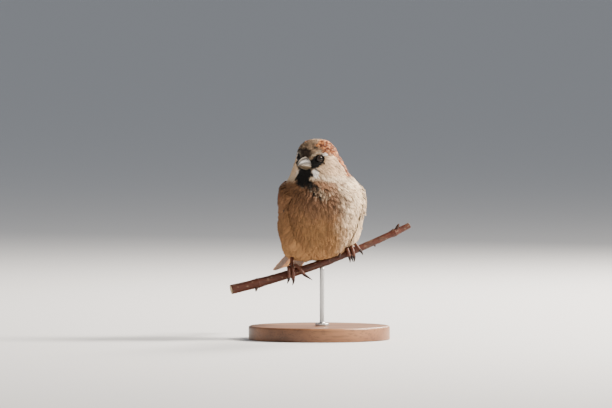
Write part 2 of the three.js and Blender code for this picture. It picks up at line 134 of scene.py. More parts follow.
def bumps(value, *each):
    """The sum of some bumps, each given as its size, its centre and its width."""
    return sum(size * bump_at(value, centre, width) for size, centre, width in each)


def circle(sides):
    return 2 * math.pi * np.arange(sides) / sides


def head_axes():
    """The matrix from the head's own axes to the bird's."""
    cos_t, sin_t = math.cos(HEAD_TURN), math.sin(HEAD_TURN)
    cos_n, sin_n = math.cos(HEAD_NOD), math.sin(HEAD_NOD)
    turn = np.array(((cos_t, -sin_t, 0), (sin_t, cos_t, 0), (0, 0, 1)))
    nod = np.array(((1, 0, 0), (0, cos_n, -sin_n), (0, sin_n, cos_n)))
    return turn @ nod


HEAD_AXES = head_axes()


def on_head(points):
    """Points in the head's axes, x to the bird's left, -y along the bill, z up, as row points."""
    return np.asarray(points, float) @ HEAD_AXES.T + HEAD_AT


def in_head(points):
    return (points - HEAD_AT) @ HEAD_AXES


def in_half_head(points):
    """Points in the head's axes, with its right side laid over its left."""
    place = in_head(points)
    return np.stack((np.abs(place[..., 0]), place[..., 1], place[..., 2]), axis=-1)


def waves(points, size, seed):
    """Soft noise from -1 to 1 over points, with blotches of about the given size."""
    wave_rng = np.random.default_rng(seed)
    total = np.zeros(points.shape[:-1])
    count = 14
    for _ in range(count):
        direction = unit(wave_rng.normal(size=3)) * wave_rng.uniform(0.6, 1.6) * math.pi / size
        total += np.sin(points @ direction + wave_rng.uniform(0, 2 * math.pi))
    return total / math.sqrt(count) / 1.5


def distance_from(points, centre, scale=1):
    return np.linalg.norm((points - centre) * scale, axis=1)


def capsule(points, start, end, start_radius, end_radius):
    """Distance outside a tapering capsule, negative within it."""
    step = np.subtract(end, start)
    share = np.clip((points - start) @ step / (step @ step), 0, 1)
    return distance_from(points, start + share[:, None] * step) - between(start_radius, end_radius, share)


def joined(parts):
    """Several (points, faces, ...) as one, with the faces counted on."""
    starts = np.cumsum([0] + [len(part[0]) for part in parts])
    columns = [list(column) for column in zip(*parts)]
    columns[1] = [faces + start for faces, start in zip(columns[1], starts)]
    return [np.concatenate(column) for column in columns]


# ---- meshes and pieces ----
def new_mesh(name, points, faces, colours=None, bake=None, vane=None):
    """A mesh object. points are row millimetres and faces rows of 3 or 4 indices. colours, bake and vane are
    given for each point: the plumage colour, the place on the skin's unwrap and the place on the feather."""
    mesh = bpy.data.meshes.new(name)
    mesh.from_pydata((points * TO_METRES).tolist(), [], faces.tolist(), shade_flat=False)
    if colours is not None:
        layer = mesh.color_attributes.new("Plumage", "FLOAT_COLOR", "POINT")
        rgba = np.ones((len(points), 4), np.float32)
        rgba[:, :3] = np.clip(colours, 0.002, 0.95)
        layer.data.foreach_set("color", rgba.ravel())
    for layer_name, places in (("OFBake", bake), ("Vane", vane)):
        if places is not None:
            layer = mesh.uv_layers.new(name=layer_name)
            layer.data.foreach_set("uv", places[faces.ravel()].astype(np.float32).ravel())
    piece = bpy.data.objects.new(name, mesh)
    bpy.context.scene.collection.objects.link(piece)
    return piece


def dress(piece, look, slot, *nodes):
    """Gives a piece its material, its body and the nodes that it stands for. slot is not used."""
    piece.data.materials.append(look)
    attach(piece, "root")
    if nodes:
        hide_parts(*nodes)


def welded(piece):
    """Merges a piece's doubled points and turns its faces outward."""
    work = bmesh.new()
    work.from_mesh(piece.data)
    bmesh.ops.remove_doubles(work, verts=work.verts, dist=1e-6)
    bmesh.ops.recalc_face_normals(work, faces=work.faces)
    work.to_mesh(piece.data)
    work.free()
    return piece


def ring_faces(rows, columns):
    """Quads over rows of points, each row closed on itself."""
    first = (np.arange(rows - 1)[:, None] * columns + np.arange(columns)).ravel()
    right = (np.arange(rows - 1)[:, None] * columns + (np.arange(columns) + 1) % columns).ravel()
    return np.stack((first, right, right + columns, first + columns), axis=1)


def with_ends(rows, end=None):
    """Rows of colours with one more at each end, for the points that close a tube."""
    low, high = (rows[:1], rows[-1:]) if end is None else (rows[:1] * 0 + end,) * 2
    return np.concatenate((low, rows, high))


def closed_tube(rings):
    """Points and quads of a tube of rings, rows by sides by 3, with each end shrunk to a point."""
    ends = np.broadcast_to(rings[[0, -1]].mean(axis=1, keepdims=True), (2, *rings.shape[1:]))
    rings = np.concatenate((ends[:1], rings, ends[1:]))
    return rings.reshape(-1, 3), ring_faces(len(rings), rings.shape[1])


def add_tubes(name, tubes, look, slot, *nodes, end=None):
    """Closed tubes as one piece, each given as its rings and the colours of their points."""
    parts = []
    for rings, tones in tubes:
        colours = with_ends(np.broadcast_to(tones, rings.shape), end).reshape(-1, 3)
        parts.append((*closed_tube(rings), colours))
    dress(welded(new_mesh(name, *joined(parts))), look, slot, *nodes)


def turned_profile(centre, axis, radii, heights, sides):
    """A profile of radii and heights turned about an axis, as rings."""
    axis = unit(np.asarray(axis, float))
    first = unit(np.cross(axis, (0.0, 1.0, 0.0) if abs(axis[2]) > 0.9 else (0.0, 0.0, 1.0)))
    second = np.cross(axis, first)
    angles = circle(sides)[:, None]
    around = first * np.cos(angles) + second * np.sin(angles)
    return centre + axis * heights[:, None, None] + around[None] * radii[:, None, None]


def rings_along(centres, up_hint, radii, angles):
    """Round rings along a line of points, with up as near up_hint as it can be."""
    tangent = unit(np.gradient(centres, axis=0))
    up = unit(up_hint - dot(up_hint, tangent) * tangent)
    across = unit(np.cross(tangent, up))
    rings = centres[:, None] + across[:, None] * (radii * np.cos(angles))[..., None]
    return rings + up[:, None] * (radii * np.sin(angles))[..., None]


def through(points, shares):
    """A smooth curve through three points at 0, a half and 1."""
    a, b, c = (np.asarray(point, float) for point in points)
    t = shares[:, None]
    return a * (2 * t - 1) * (t - 1) + b * 4 * t * (1 - t) + c * t * (2 * t - 1)


# ---- materials ----
class Look:
    """A node material round one Principled shader. Its colour is a product of layers, the first of them the
    colour stored on the mesh where stored is true."""

    def __init__(self, name, stored=True, **sockets):
        self.material = bpy.data.materials.new(name)
        self.material.use_nodes = True
        self.nodes = self.material.node_tree.nodes
        self.links = self.material.node_tree.links
        self.shader = self.nodes["Principled BSDF"]
        self.set(self.shader, sockets)
        self.colour = self.add("Attribute", "Color", attribute_name="Plumage") if stored else None

    def set(self, node, settings):
        """Sets a node's sockets and fields. A socket given as a value is linked."""
        for name, value in settings.items():
            socket = name.replace("_", " ")
            if isinstance(value, bpy.types.NodeSocket):
                self.links.new(value, node.inputs[socket])
            elif socket in node.inputs:
                node.inputs[socket].default_value = value
            else:
                setattr(node, name, value)

    def add(self, kind, output, **settings):
        """Adds a node and returns one of its outputs."""
        node = self.nodes.new("ShaderNode" + kind)
        self.set(node, settings)
        return node.outputs[output]

    def noise(self, scale, detail, stretch=(1, 1, 1)):
        """Noise in object space. scale is in cycles per metre."""
        place = self.add("Mapping", "Vector", Vector=self.add("TexCoord", "Object"), Scale=stretch)
        return self.add("TexNoise", "Fac", Vector=place, Scale=scale, Detail=detail)

    def layer(self, source, stops, factor=1.0):
        """Multiplies the colour by a ramp over source. stops are positions with a grey level or a colour."""
        shade = self.add("ValToRGB", "Color", Fac=source)
        elements = shade.node.color_ramp.elements
        while len(elements) < len(stops):
            elements.new(0.5)
        for element, (at, tone) in zip(elements, stops):
            element.position = at
            element.color = (*np.broadcast_to(tone, 3), 1)
        if self.colour is not None:
            both = {"Color1": self.colour, "Color2": shade}
            shade = self.add("MixRGB", "Color", blend_type="MULTIPLY", Fac=factor, **both)
        self.colour = shade
        self.links.new(shade, self.shader.inputs["Base Color"])

    def surface(self, source, rough, relief, raised=None):
        """Gives the shader roughness, from low to high over source, and relief of a strength and depth over
        source too, or over raised."""
        spread = self.add("MapRange", "Result", Value=source, To_Min=rough[0], To_Max=rough[1])
        strength, depth = relief
        height = source if raised is None else raised
        bump = self.add("Bump", "Normal", Height=height, Strength=strength, Distance=depth * TO_METRES)
        self.set(self.shader, {"Roughness": spread, "Normal": bump})


def grained(name, noise, stops, rough=None, relief=None, **sockets):
    """A material whose colour, gloss and relief follow one noise, given as scale, detail and stretch."""
    look = Look(name, **sockets)
    grain = look.noise(*noise)
    look.layer(grain, stops)
    if rough:
        look.surface(grain, rough, relief)
    return look.material


def vane_look():
    """Smooth flight feathers, with the fine slanting lines of the barbs on both sides of the shaft."""
    look = Look("vanes", Specular_IOR_Level=0.2)
    place = look.add("UVMap", "UV", uv_map="Vane")
    slant = {"wave_type": "BANDS", "bands_direction": "DIAGONAL"}
    barbs = look.add("TexWave", "Fac", Vector=place, Scale=16.0, Distortion=1.2, Detail=1.0, **slant)
    look.layer(barbs, ((0.0, 0.8), (1.0, 1.0)))
    fine = look.noise(1500, 3)
    look.layer(fine, ((0.3, 0.84), (0.7, 1.0)))
    look.surface(fine, (0.55, 0.75), (0.3, 0.08), barbs)
    return look.material


def scale_look():
    """Scaly skin of the legs, darker between the scales, with a leathery bump."""
    look = Look("leg_skin", Specular_IOR_Level=0.45)
    place = look.add("TexCoord", "Object")
    cells = look.add("TexVoronoi", "Distance", feature="DISTANCE_TO_EDGE", Vector=place, Scale=1500.0)
    look.layer(cells, ((0.0, 0.55), (0.18, 1.0)))
    look.surface(look.noise(900, 3), (0.38, 0.62), (0.35, 0.1), cells)
    return look.material


def bark_look():
    """Thin smooth bark of a young shoot: dark red brown with long streaks, pale flecks and grey bloom."""
    look = Look("bark", Specular_IOR_Level=0.35)
    streaks = look.noise(420, 6, (0.18, 1, 1))
    look.layer(streaks, ((0.3, 0.42), (0.55, 0.85), (0.75, (1.0, 0.92, 0.84))))
    look.layer(look.noise(900, 2, (0.5, 1, 1)), ((0.0, 1.0), (0.68, 1.0), (0.74, (1.0, 0.95, 0.9))), 0.6)
    look.surface(streaks, (0.45, 0.75), (0.5, 0.25))
    return look.material


def stand_wood_look():
    """Oiled walnut: long grain along X with darker figure, a satin finish."""
    look = Look("stand_wood", stored=False, Specular_IOR_Level=0.4, Coat_Weight=0.2, Coat_Roughness=0.35)
    walnut = ((0.3, srgb(78, 48, 30)), (0.5, srgb(120, 80, 52)), (0.7, srgb(150, 106, 72)))
    look.layer(look.noise(38, 6, (0.16, 1, 1)), walnut)
    grain = look.noise(900, 5, (0.03, 1, 1))
    look.layer(grain, ((0.32, 0.45), (0.5, 1.0)), 0.7)
    look.surface(grain, (0.35, 0.55), (0.15, 0.1))
    return look.material


FEATHERY = {
    "noise": (2600, 3),
    "stops": ((0.25, 0.72), (0.75, 1.0)),
    "rough": (0.7, 0.95),
    "relief": (0.25, 0.1),
}
KERATIN = {"stops": ((0.3, 0.78), (0.7, 1.0)), "relief": (0.2, 0.06), "Specular_IOR_Level": 0.25}
GLASSY = {"Specular_IOR_Level": 0.15, "Coat_Weight": 0.15, "Coat_Roughness": 0.02, "Roughness": 0.15}
DRY = {"Specular_IOR_Level": 0.2}
PLUMAGE = grained("plumage", Specular_IOR_Level=0.25, Sheen_Weight=0.02, Sheen_Roughness=0.5, **FEATHERY)
LIDS = grained("lid_skin", Specular_IOR_Level=0.25, **FEATHERY)
DOWN = grained("down", (1800, 5), ((0.3, 0.5), (0.7, 0.95)), (0.8, 1.0), (0.8, 0.3), **DRY)
HORN = grained("bill_horn", (1400, 4, (1, 1, 3)), rough=(0.3, 0.5), **KERATIN)
CLAW = grained("claw_horn", (2200, 4, (1, 1, 3)), rough=(0.3, 0.45), **KERATIN)
EYE = grained("eye_glass", (3000, 2), ((0.3, 0.7), (0.7, 1.0)), **GLASSY)
CUT_WOOD = grained("cut_wood", (2500, 3), ((0.3, 0.75), (0.7, 1.0)), (0.7, 0.9), (0.4, 0.1), **DRY)
STEEL = grained(
    "stand_metal", (1500, 3, (1, 1, 0.03)), ((0.3, 0.5), (0.7, 0.64)), (0.25, 0.4), (0.1, 0.03),
    stored=False, Metallic=1.0,
)
VANES, LEG, BARK, STAND_WOOD = vane_look(), scale_look(), bark_look(), stand_wood_look()


# ---- the smooth form of the flesh, out to the feather tips ----
def read(collection, field, kind=float):
    """A three-part field of a mesh's collection, as rows."""
    values = np.zeros(len(collection) * 3, kind)
    collection.foreach_get(field, values)
    return values.reshape(-1, 3)


def solid_arrays(*nodes):
    """The points, in millimetres, and triangles of some nodes together."""
    parts = []
    for node in nodes:
        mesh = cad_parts[node].data
        mesh.calc_loop_triangles()
        parts.append((read(mesh.vertices, "co") / TO_METRES, read(mesh.loop_triangles, "vertices", np.int32)))
    return joined(parts)


class Surface:
    """A surface that points can be dropped onto, or that rays can be sent at."""

    def __init__(self, points, faces, normals=None):
        self.tree = BVHTree.FromPolygons(points.tolist(), faces.tolist())
        self.faces = faces
        self.normals = normals

    def nearest(self, points):
        """The nearest points of the surface and the smooth normals there."""
        places, _, faces, _ = zip(*(self.tree.find_nearest(Vector(point)) for point in points))
        return np.array(places), unit(self.normals[self.faces[list(faces)]].mean(axis=1))

    def reach(self, origins, directions, limit):
        """How far each ray goes before it meets the surface, or limit if it meets nothing."""
        rays = zip(origins, directions)
        hits = [self.tree.ray_cast(Vector(origin), Vector(direction), limit)[3] for origin, direction in rays]
        return np.array([limit if hit is None else hit for hit in hits], float)


def flesh_form():
    """One closed smooth surface round the nodes of flesh: remeshed, its steps and gaps smoothed away."""
    swell = 0.3  # closes the thin gaps between the nodes
    rough = welded(new_mesh("rough_form", *solid_arrays(*FLESH)))
    vertices = rough.data.vertices
    vertices.foreach_set("co", (read(vertices, "co") + read(vertices, "normal") * swell * TO_METRES).ravel())
    remesh = rough.modifiers.new("remesh", "REMESH")
    remesh.mode, remesh.voxel_size = "VOXEL", 0.75 * TO_METRES
    relax = rough.modifiers.new("relax", "SMOOTH")
    relax.factor, relax.iterations = 0.5, 14
    made = rough.evaluated_get(bpy.context.evaluated_depsgraph_get()).to_mesh()
    made.calc_loop_triangles()
    points, normals = read(made.vertices, "co"), read(made.vertices, "normal")
    faces = read(made.loop_triangles, "vertices", np.int32)
    bpy.data.objects.remove(rough)
    return points / TO_METRES - normals * swell, faces, normals


form_points, form_faces, form_normals = flesh_form()
form = Surface(form_points, form_faces, form_normals)
wing_solids = Surface(*solid_arrays(*WINGS["left"], *WINGS["right"]))

# ---- the skin's unwrap: distance along the body against the angle round it ----
BODY_SPINE = ((0, 52, 6), (0, 36, 13), (0, 20, 22), (0, 5, 33), (-2, -1, 47), (-4, -4, 59), (-5.4, -5.2, 67))
SPINE = np.concatenate((BIRD + BODY_SPINE, on_head([(0, -12.5, -3.5)])))
SPINE_SHARE = np.array((0, 0.1, 0.2, 0.32, 0.47, 0.62, 0.8, 1.0))
SPINE_SIDE = np.array((1.0, -0.4, 0.0))  # where the unwrap's angle is 0
UNWRAP_MARGIN = 0.02


def unwrap(points):
    """The place of each point on the unwrap, u round the body and v along it from the tail to the bill."""
    best, along, around = (np.full(len(points), value) for value in (np.inf, 0.0, 0.0))
    for start, end, low, high in zip(SPINE, SPINE[1:], SPINE_SHARE, SPINE_SHARE[1:]):
        step = end - start
        share = np.clip((points - start) @ step / (step @ step), 0, 1)
        offset = points - (start + share[:, None] * step)
        distance = np.linalg.norm(offset, axis=1)
        tangent = unit(step)
        side = unit(SPINE_SIDE - tangent * (tangent @ SPINE_SIDE))
        ahead = np.cross(side, tangent)
        closer = distance < best
        best = np.where(closer, distance, best)
        along = np.where(closer, between(low, high, share), along)
        around = np.where(closer, np.arctan2(offset @ ahead, offset @ side), around)
    return UNWRAP_MARGIN + (1 - 2 * UNWRAP_MARGIN) * np.stack((around / (2 * math.pi) + 0.5, along), axis=1)


# ---- markings ----
BLACK = srgb(11, 9, 9)
DARK_BROWN = srgb(58, 40, 30)
CHESTNUT = srgb(92, 40, 16)
CHESTNUT_PALE = srgb(224, 148, 88)
CROWN_GREY = srgb(150, 126, 102)
EAR_SHADE = srgb(150, 126, 104)
CHEEK = srgb(204, 174, 142)
WHITE = srgb(236, 232, 226)
PALE = srgb(214, 196, 170)
BREAST = srgb(126, 92, 68)
BELLY = srgb(152, 113, 73)
# the next two: the bird's left flank and breast side, its own pale buff brightened as painted light
PALE_LIT_FLANK = srgb(208, 182, 150)
PALE_LIT_BREAST_SIDE = srgb(244, 222, 190)
# the bird's right side: its own buff, darkened as painted shade
SHADE_SIDE = srgb(122, 85, 54)
MANTLE = srgb(118, 74, 40)
RUMP = srgb(122, 100, 76)
UNDER_TAIL = srgb(192, 170, 140)
eye_low, eye_high = (np.array(corner) / TO_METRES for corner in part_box("eye_left"))
EYE_AT = in_head((eye_low + eye_high) / 2)  # the left eye's centre, in the head's axes
EYE_AXIS = unit(np.array((0.94, -0.34, 0.04)))
EYE_RADIUS = (eye_high[2] - eye_low[2]) / 2

CHIN, THROAT = on_head([(-0.6, -12.2, -8.0), (-2.6, -13.6, -11.6)])
BIB_NECK = BIRD + (-14.8, -16.4, 53.0)
BIB_FOOT = BIRD + (-8.6, -20.7, 47.2)
BIB = (CHIN, THROAT, BIB_NECK, BIRD + (-11.3, -18.6, 50.6), BIB_FOOT)
BIB_RADII = ((5.0, 4.9), (4.9, 3.2), (3.2, 3.2), (3.2, 2.8))
# a grey-brown band along the neck below the cheek: partly the breast's own colour, partly painted shade under
# the head
NECK_SHADE_BAND = (BIRD + (-9.0, -18.6, 52.8), BIRD + (1.5, -20.4, 51.8))
MANTLE_ROWS, MANTLE_RADIUS = 5.0, 24.0  # between the black streaks of the back, and its roundness
MIDLINE = np.array((math.cos(math.radians(15)), -math.sin(math.radians(15)), 0))  # across the belly's midline, turned 15 degrees to the camera's right; the painted light and shade of the underparts part along it
WING_ALONG, WING_UP = sloping(WING["fall"])


def head_markings(place, fine, blotch):
    """Colours of the head in its own axes, over the plain grey cheek, and the share that is chestnut. The
    bird's right side carries painted shade and its left forehead painted light.
    """
    side, back, up = np.abs(place[:, 0]), place[:, 1], place[:, 2]
    mirrored = np.stack((side, back, up), axis=1)
    speckle = waves(place, 0.9, 17)
    away = smooth(0, -2, place[:, 0])  # the bird's right, in painted shade: there the chestnut starts further back, the forehead's dark reaches further back and higher, the crown is darker and the pale marks are dimmer

    # the crown, over a line from the bill's root across the eye to the nape, grey between chestnut sides
    brow_line = 2.6 - 8.0 * smooth(-2.0, 7.0, back) - 6.0 * smooth(-8.5, -11.0, back) * smooth(7.5, 5.5, side)
    above = smooth(-0.6, 1.0, up - brow_line + 0.7 * fine)
    on_side = smooth(-0.8, 0.8, side - 3.6 - 0.8 * smooth(-4, 6, back) + 0.8 * fine)
    chestnut = above * on_side * smooth(-9.6, -7.4, back - 4 * away + 0.5 * fine)
    nape = smooth(6.0, 9.0, back + 0.4 * fine) * smooth(-14, -9, up + fine) * smooth(1.2, 3.2, side)
    chestnut = np.maximum(chestnut, nape)
    crown = above * (1 - chestnut)
    # the crown's grey mottle, darker on the bird's right as painted shade
    crown_mottle_and_shade = 1 + 0.25 * fine + (0.4 + 0.25 * away) * speckle - 0.25 * away
    # the dark forehead: partly its own dark, partly painted shade where it reaches further on the bird's
    # right; cut back on its left, where painted light keeps it pale
    forehead = crown * smooth(-7.0, -10.0, back - 3 * away + 1.5 * fine)
    forehead *= smooth(7.5, 4.5, up - away + 1.5 * fine) * smooth(5.0, 1.5, place[:, 0] + 0.8 * fine)

    # small marks: pale brow, white spot behind the eye and on the malar, and the black lores and gape. The
    # brow, the spot and the malar are dimmer on the bird's right, as painted shade.
    ear = distance_from(mirrored, (13.5, 1.0, -3.5))
    brow = capsule(mirrored, (3.2, -12.2, 1.4), (7.2, -9.6, 4.0), 0.3, 0.7)
    spot = distance_from(mirrored, (9.6, -8.2, 2.4), (0.6, 0.55, 1.1))
    behind = capsule(mirrored, EYE_AT + (1.5, 2.2, 0.2), (12.6, -1.5, 0.2), 0.9, 0.5)
    malar = distance_from(mirrored, (5.6, -12.4, -8.8), (1.0, 0.8, 0.8))
    lores = capsule(mirrored, (3.6, -13.2, -3.4), EYE_AT + (1.2, -0.6, -0.5), 2.9, 3.3)
    gape = capsule(mirrored, (5.6, -12.0, -6.0), (9.0, -9.4, -8.8), 0.5, 0.2)
    colour = layered(
        CHEEK * (1 + 0.1 * blotch + 0.08 * speckle)[:, None],
        (EAR_SHADE, 0.6 * smooth(5.5, 2.0, ear)),
        (PALE, 0.7 * smooth(-8, -12, up)),
        (CROWN_GREY * crown_mottle_and_shade[:, None], crown),
        (mix(CHESTNUT, CHESTNUT_PALE, smooth(-0.2, 1.2, speckle + 0.4 * fine)), chestnut),
        (DARK_BROWN * 0.25, 0.92 * forehead),
        (PALE * 0.9, 0.7 * (1 - 0.7 * away) * smooth(0.8, -0.3, brow + 0.8 * speckle)),
        (WHITE, (1 - 0.6 * away) * smooth(2.0, 1.2, spot + 0.25 * fine)),
        (DARK_BROWN * 0.6, 0.8 * smooth(0.5, -0.3, behind + 0.3 * fine)),
        # the malar's white halved on the bird's right: painted shade
        (WHITE, (1 - 0.5 * (place[:, 0] < 0)) * smooth(2.9, 1.4, malar + 0.6 * speckle)),
        (BLACK, np.maximum(smooth(0.7, -0.5, lores + 0.5 * fine), 0.85 * smooth(0.5, -0.2, gape))),
    )
    return colour, chestnut


def mantle(points):
    """The back: warm brown, with rows of black streaks along it."""
    offset = points - WING["from"]
    around = np.arctan2(np.abs(offset[:, 0]), offset @ WING_UP) * MANTLE_RADIUS
    rows = np.sin(2 * math.pi * around / MANTLE_ROWS + 1.2 * waves(points, 6.0, 18))
    rows = rows + 0.3 * waves(points * (1, 0.4, 0.4), 1.2, 20)
    brown = MANTLE * (1 + 0.25 * waves(points, 2.0, 19))[:, None]
    return mix(brown, DARK_BROWN * 0.35, 0.92 * smooth(-0.1, 0.5, rows))


def trunk_colours(body, normals, points, fine, blotch):
    """The breast and belly as far back as the tail: pale on the bird's left, partly its own pale buff and
    partly painted light, and browner on its right, partly its own buff and partly painted shade.
    """
    height, across = body[:, 2], body @ MIDLINE
    pale_edge = 9.5 + 5.0 * smooth(52, 42, height)
    pale_lit_side = mix(PALE_LIT_FLANK, PALE_LIT_BREAST_SIDE, smooth(26, 42, height + 3 * blotch))
    # where the bird's left flank faces straight sideways it takes a shaded copy of the pale, lit flank:
    # painted shade
    sideways = smooth(0.7, 0.95, np.abs(normals[:, 0])) * smooth(56, 50, height) * (body[:, 0] > 0)
    mottle = smooth(-0.2, 0.8, waves(points * (1, 1, 0.5), 1.5, 15)) * bump_at(across, 11, 10)
    frost = smooth(7.5, 4.0, distance_from(body, (-5.0, -21.5, 48.5)) + fine)
    speckled = bump_at(distance_from(body, (6.5, -24.3, 40.5)), 0, 7.0)
    speckled = speckled * smooth(-0.3, 0.6, waves(points * (1, 1, 0.6), 1.1, 21))
    # a dark line down the belly where the feathers part: painted shade in the parting
    midline = bump_at(across, 4.6, 1.0) * smooth(8, 14, height) * smooth(36, 28, height)
    colour = layered(
        BELLY,
        (BREAST, smooth(24, 42, height + 3 * blotch)),
        # painted shade over the bird's right side
        (SHADE_SIDE, smooth(4, 20, -across + 3 * blotch) * smooth(2, 16, height) * 0.7),
        # painted light over the bird's left side, on its own pale buff
        (pale_lit_side, smooth(-6.5, 6.5, across - pale_edge + 2.5 * blotch + fine) * 0.95),
        # painted shade on the sideways-facing left flank
        (PALE_LIT_FLANK * 0.72, 0.8 * sideways),
        (BREAST * 0.6, 0.75 * mottle * smooth(27, 35, height) * smooth(60, 54, height)),
        (mix(BREAST * 0.7, PALE_LIT_BREAST_SIDE, smooth(-0.4, 0.8, waves(points, 1.3, 16))), 0.5 * frost),
        (BREAST * 0.6, 0.6 * speckled),
        (BELLY * 1.3, 0.8 * smooth(20, 7, height) * smooth(12, 2, across)),
        # painted shade in the belly's parting
        (SHADE_SIDE, 0.6 * midline),
    )
    combed = waves(points * (1.0, 1.0, 0.22), 1.5, 14)  # streaks that hang down the belly
    under = smooth(16, 26, body[:, 1]) * smooth(0.1, -0.4, normals[:, 2])
    return mix(colour * (1 + 0.18 * combed)[:, None], UNDER_TAIL, under)


def on_back(body, normals, fine):
    """The share of each point that is mantle or rump."""
    behind = smooth(0.15, 0.5, normals[:, 1] * 0.9 + normals[:, 2] * 0.35) * smooth(4, 10, body[:, 1])
    over_wing = (body - (WING["from"] - BIRD)) @ WING_UP
    over = smooth(0, 4, body[:, 1] + fine) * smooth(-2, 2, over_wing + fine)
    return np.maximum(behind, over) * smooth(64, 58, body[:, 2])


def markings(points, normals):
    """The colour of the plumage at points of the form, and shares of it that are fringed and streaked."""
    body = points - BIRD
    height = body[:, 2]
    blotch = waves(points, 5.0, 11)
    fine = waves(points, 2.2, 12)
    back = on_back(body, normals, fine)
    head_colour, chestnut = head_markings(in_head(points), fine, blotch)
    head = smooth(53, 57, height)
    neck_shade_band = capsule(points, *NECK_SHADE_BAND, 2.6, 2.6) + 0.8 * fine
    bib = np.min([capsule(points, *ends, *radii) for *ends, radii in zip(BIB, BIB[1:], BIB_RADII)], axis=0)
    bib = smooth(0.6, -0.8, bib + 0.9 * fine)
    lower = smooth(BIB_NECK[2] + 1.0, BIB_FOOT[2], points[:, 2])
    patchy = smooth(-0.4, 0.3, waves(points, 1.5, 13) - 0.7 * lower + 0.3)
    colour = layered(
        trunk_colours(body, normals, points, fine, blotch),
        (mantle(points), back),
        (RUMP, back * smooth(30, 24, height)),
        (head_colour, head),
        # the band below the cheek: partly the breast's own colour, partly painted shade under the head
        (BREAST * 1.1, 0.75 * smooth(1.6, -0.8, neck_shade_band)),
        (BLACK, bib * (1 - lower * (1 - patchy))),
    )
    fringed = np.clip(0.8 * bib * lower + 0.4 * chestnut * head + 0.3 * back, 0, 1)
    streaks = 0.4 * back * smooth(24, 30, height)
    return colour * (1 + 0.06 * blotch + 0.05 * fine)[:, None], fringed, streaks


# ---- the lie of the coat ----
# Where the feathers lie in which direction, and how far round there, from the rump to the crown.
LIE = (
    (BIRD + (0, 42, 10), (0, 0.93, -0.37), 14),
    (BIRD + (0, 20, 22), (0, 0.76, -0.65), 14),
    (BIRD + (0, 0, 36), (0, 0.42, -0.91), 15),
    (BIRD + (-2, -2, 54), (0.05, 0.2, -0.98), 10),
    (HEAD_AT + (0, 0, 2), (0.68, 0.68, -0.28), 9),
)
BILL_ROOT = on_head([(0, -13.5, -3.4)])[0]
BILL_WEIGHT, BILL_REACH = 2.5, 6.5
COAT_DEPTH = 0.2  # how deep the coat is for the length of its feathers
FEET_AT = ((20.5, 0, 12), (-19.3, 4, 5))
NAPE = (8.5, 6.5, -2.0)  # where the feathers of the head stand furthest out
NAPE_RISE, NAPE_REACH = 1.5, 6.5
ROOTS_TRIED = 90000
CLOSEST = 0.8  # how near two roots may be, for their spacing
CELL = 1.2  # of the grid that finds a root's neighbours
NECK_HEIGHT, BREAST_HEIGHT = 53, 34  # the lower ends of the head's and the breast's coat, over the twig
PATCH = 0.0015  # half of a feather's patch on the unwrap


def lie(points, normals):
    """The direction in which feathers lie at points of the form: away from the bill and towards the tail."""
    total = np.zeros_like(points)
    for centre, direction, reach in LIE:
        weight = np.exp(-np.sum((points - centre) ** 2, axis=1) / (2 * reach**2))
        total += weight[:, None] * unit(np.array(direction, float))
    from_bill = points - BILL_ROOT
    weight = BILL_WEIGHT * np.exp(-np.sum(from_bill**2, axis=1) / (2 * BILL_REACH**2))
    total += weight[:, None] * unit(from_bill)
    total -= dot(total, normals) * normals
    return unit(total)


def feather_length(points):
    """How long the body feathers are: tiny on the face, longest on belly and rump, short over the feet."""
    body = points - BIRD
    face = distance_from(in_head(points), (0, -12.5, -3))
    length = 2.0 + 3.4 * smooth(2, 17, face)
    length = length + 4.0 * smooth(60, 46, body[:, 2]) + 2.6 * smooth(46, 26, body[:, 2])
    length = length + 3.0 * smooth(18, 34, body[:, 1])
    feet = np.min([distance_from(body, foot) for foot in FEET_AT], axis=0)
    return length * (0.45 + 0.55 * smooth(3, 13, feet))


def body_spacing(points):
    """How far apart feathers are rooted: closer together, for their length, on the long-feathered body."""
    return feather_length(points) * (0.185 - 0.045 * smooth(58, 50, points[:, 2] - BIRD[2]))


def covered_by_wing(points, normals):
    """Whether a wing lies over each point, with a margin kept along its edges."""
    tangent = lie(points, normals)
    across = np.cross(normals, tangent)
    margin, limit = 3.2, 7.0
    covered = np.ones(len(points), bool)
    for offset in (0, tangent * margin, -tangent * margin, across * margin, -across * margin):
        covered &= wing_solids.reach(points + offset - normals, normals, limit) < limit
    return covered


def scatter(spacing, count):
    """Roots spread over the form with about the spacing that a function gives, out of count tried."""
    corners = form_points[form_faces]
    area = np.linalg.norm(np.cross(corners[:, 1] - corners[:, 0], corners[:, 2] - corners[:, 0]), axis=1)
    weight = area / spacing(corners.mean(axis=1)) ** 2
    chosen = rng.choice(len(area), size=count, p=weight / weight.sum())
    a, b = np.sqrt(rng.random(count)), rng.random(count)
    shares = np.stack((1 - a, a * (1 - b), a * b), axis=1)
    points = np.einsum("ij,ijk->ik", shares, corners[chosen])
    kept, grid = [], {}
    for i, (point, gap) in enumerate(zip(points, spacing(points) * CLOSEST)):
        x, y, z = map(int, point // CELL)
        reach = int(gap // CELL) + 1
        span = range(-reach, reach + 1)
        cells = ((x + dx, y + dy, z + dz) for dx in span for dy in span for dz in span)
        if all(np.sum((points[j] - point) ** 2) >= gap**2 for cell in cells for j in grid.get(cell, ())):
            kept.append(i)
            grid.setdefault((x, y, z), []).append(i)
    return form.nearest(points[kept])


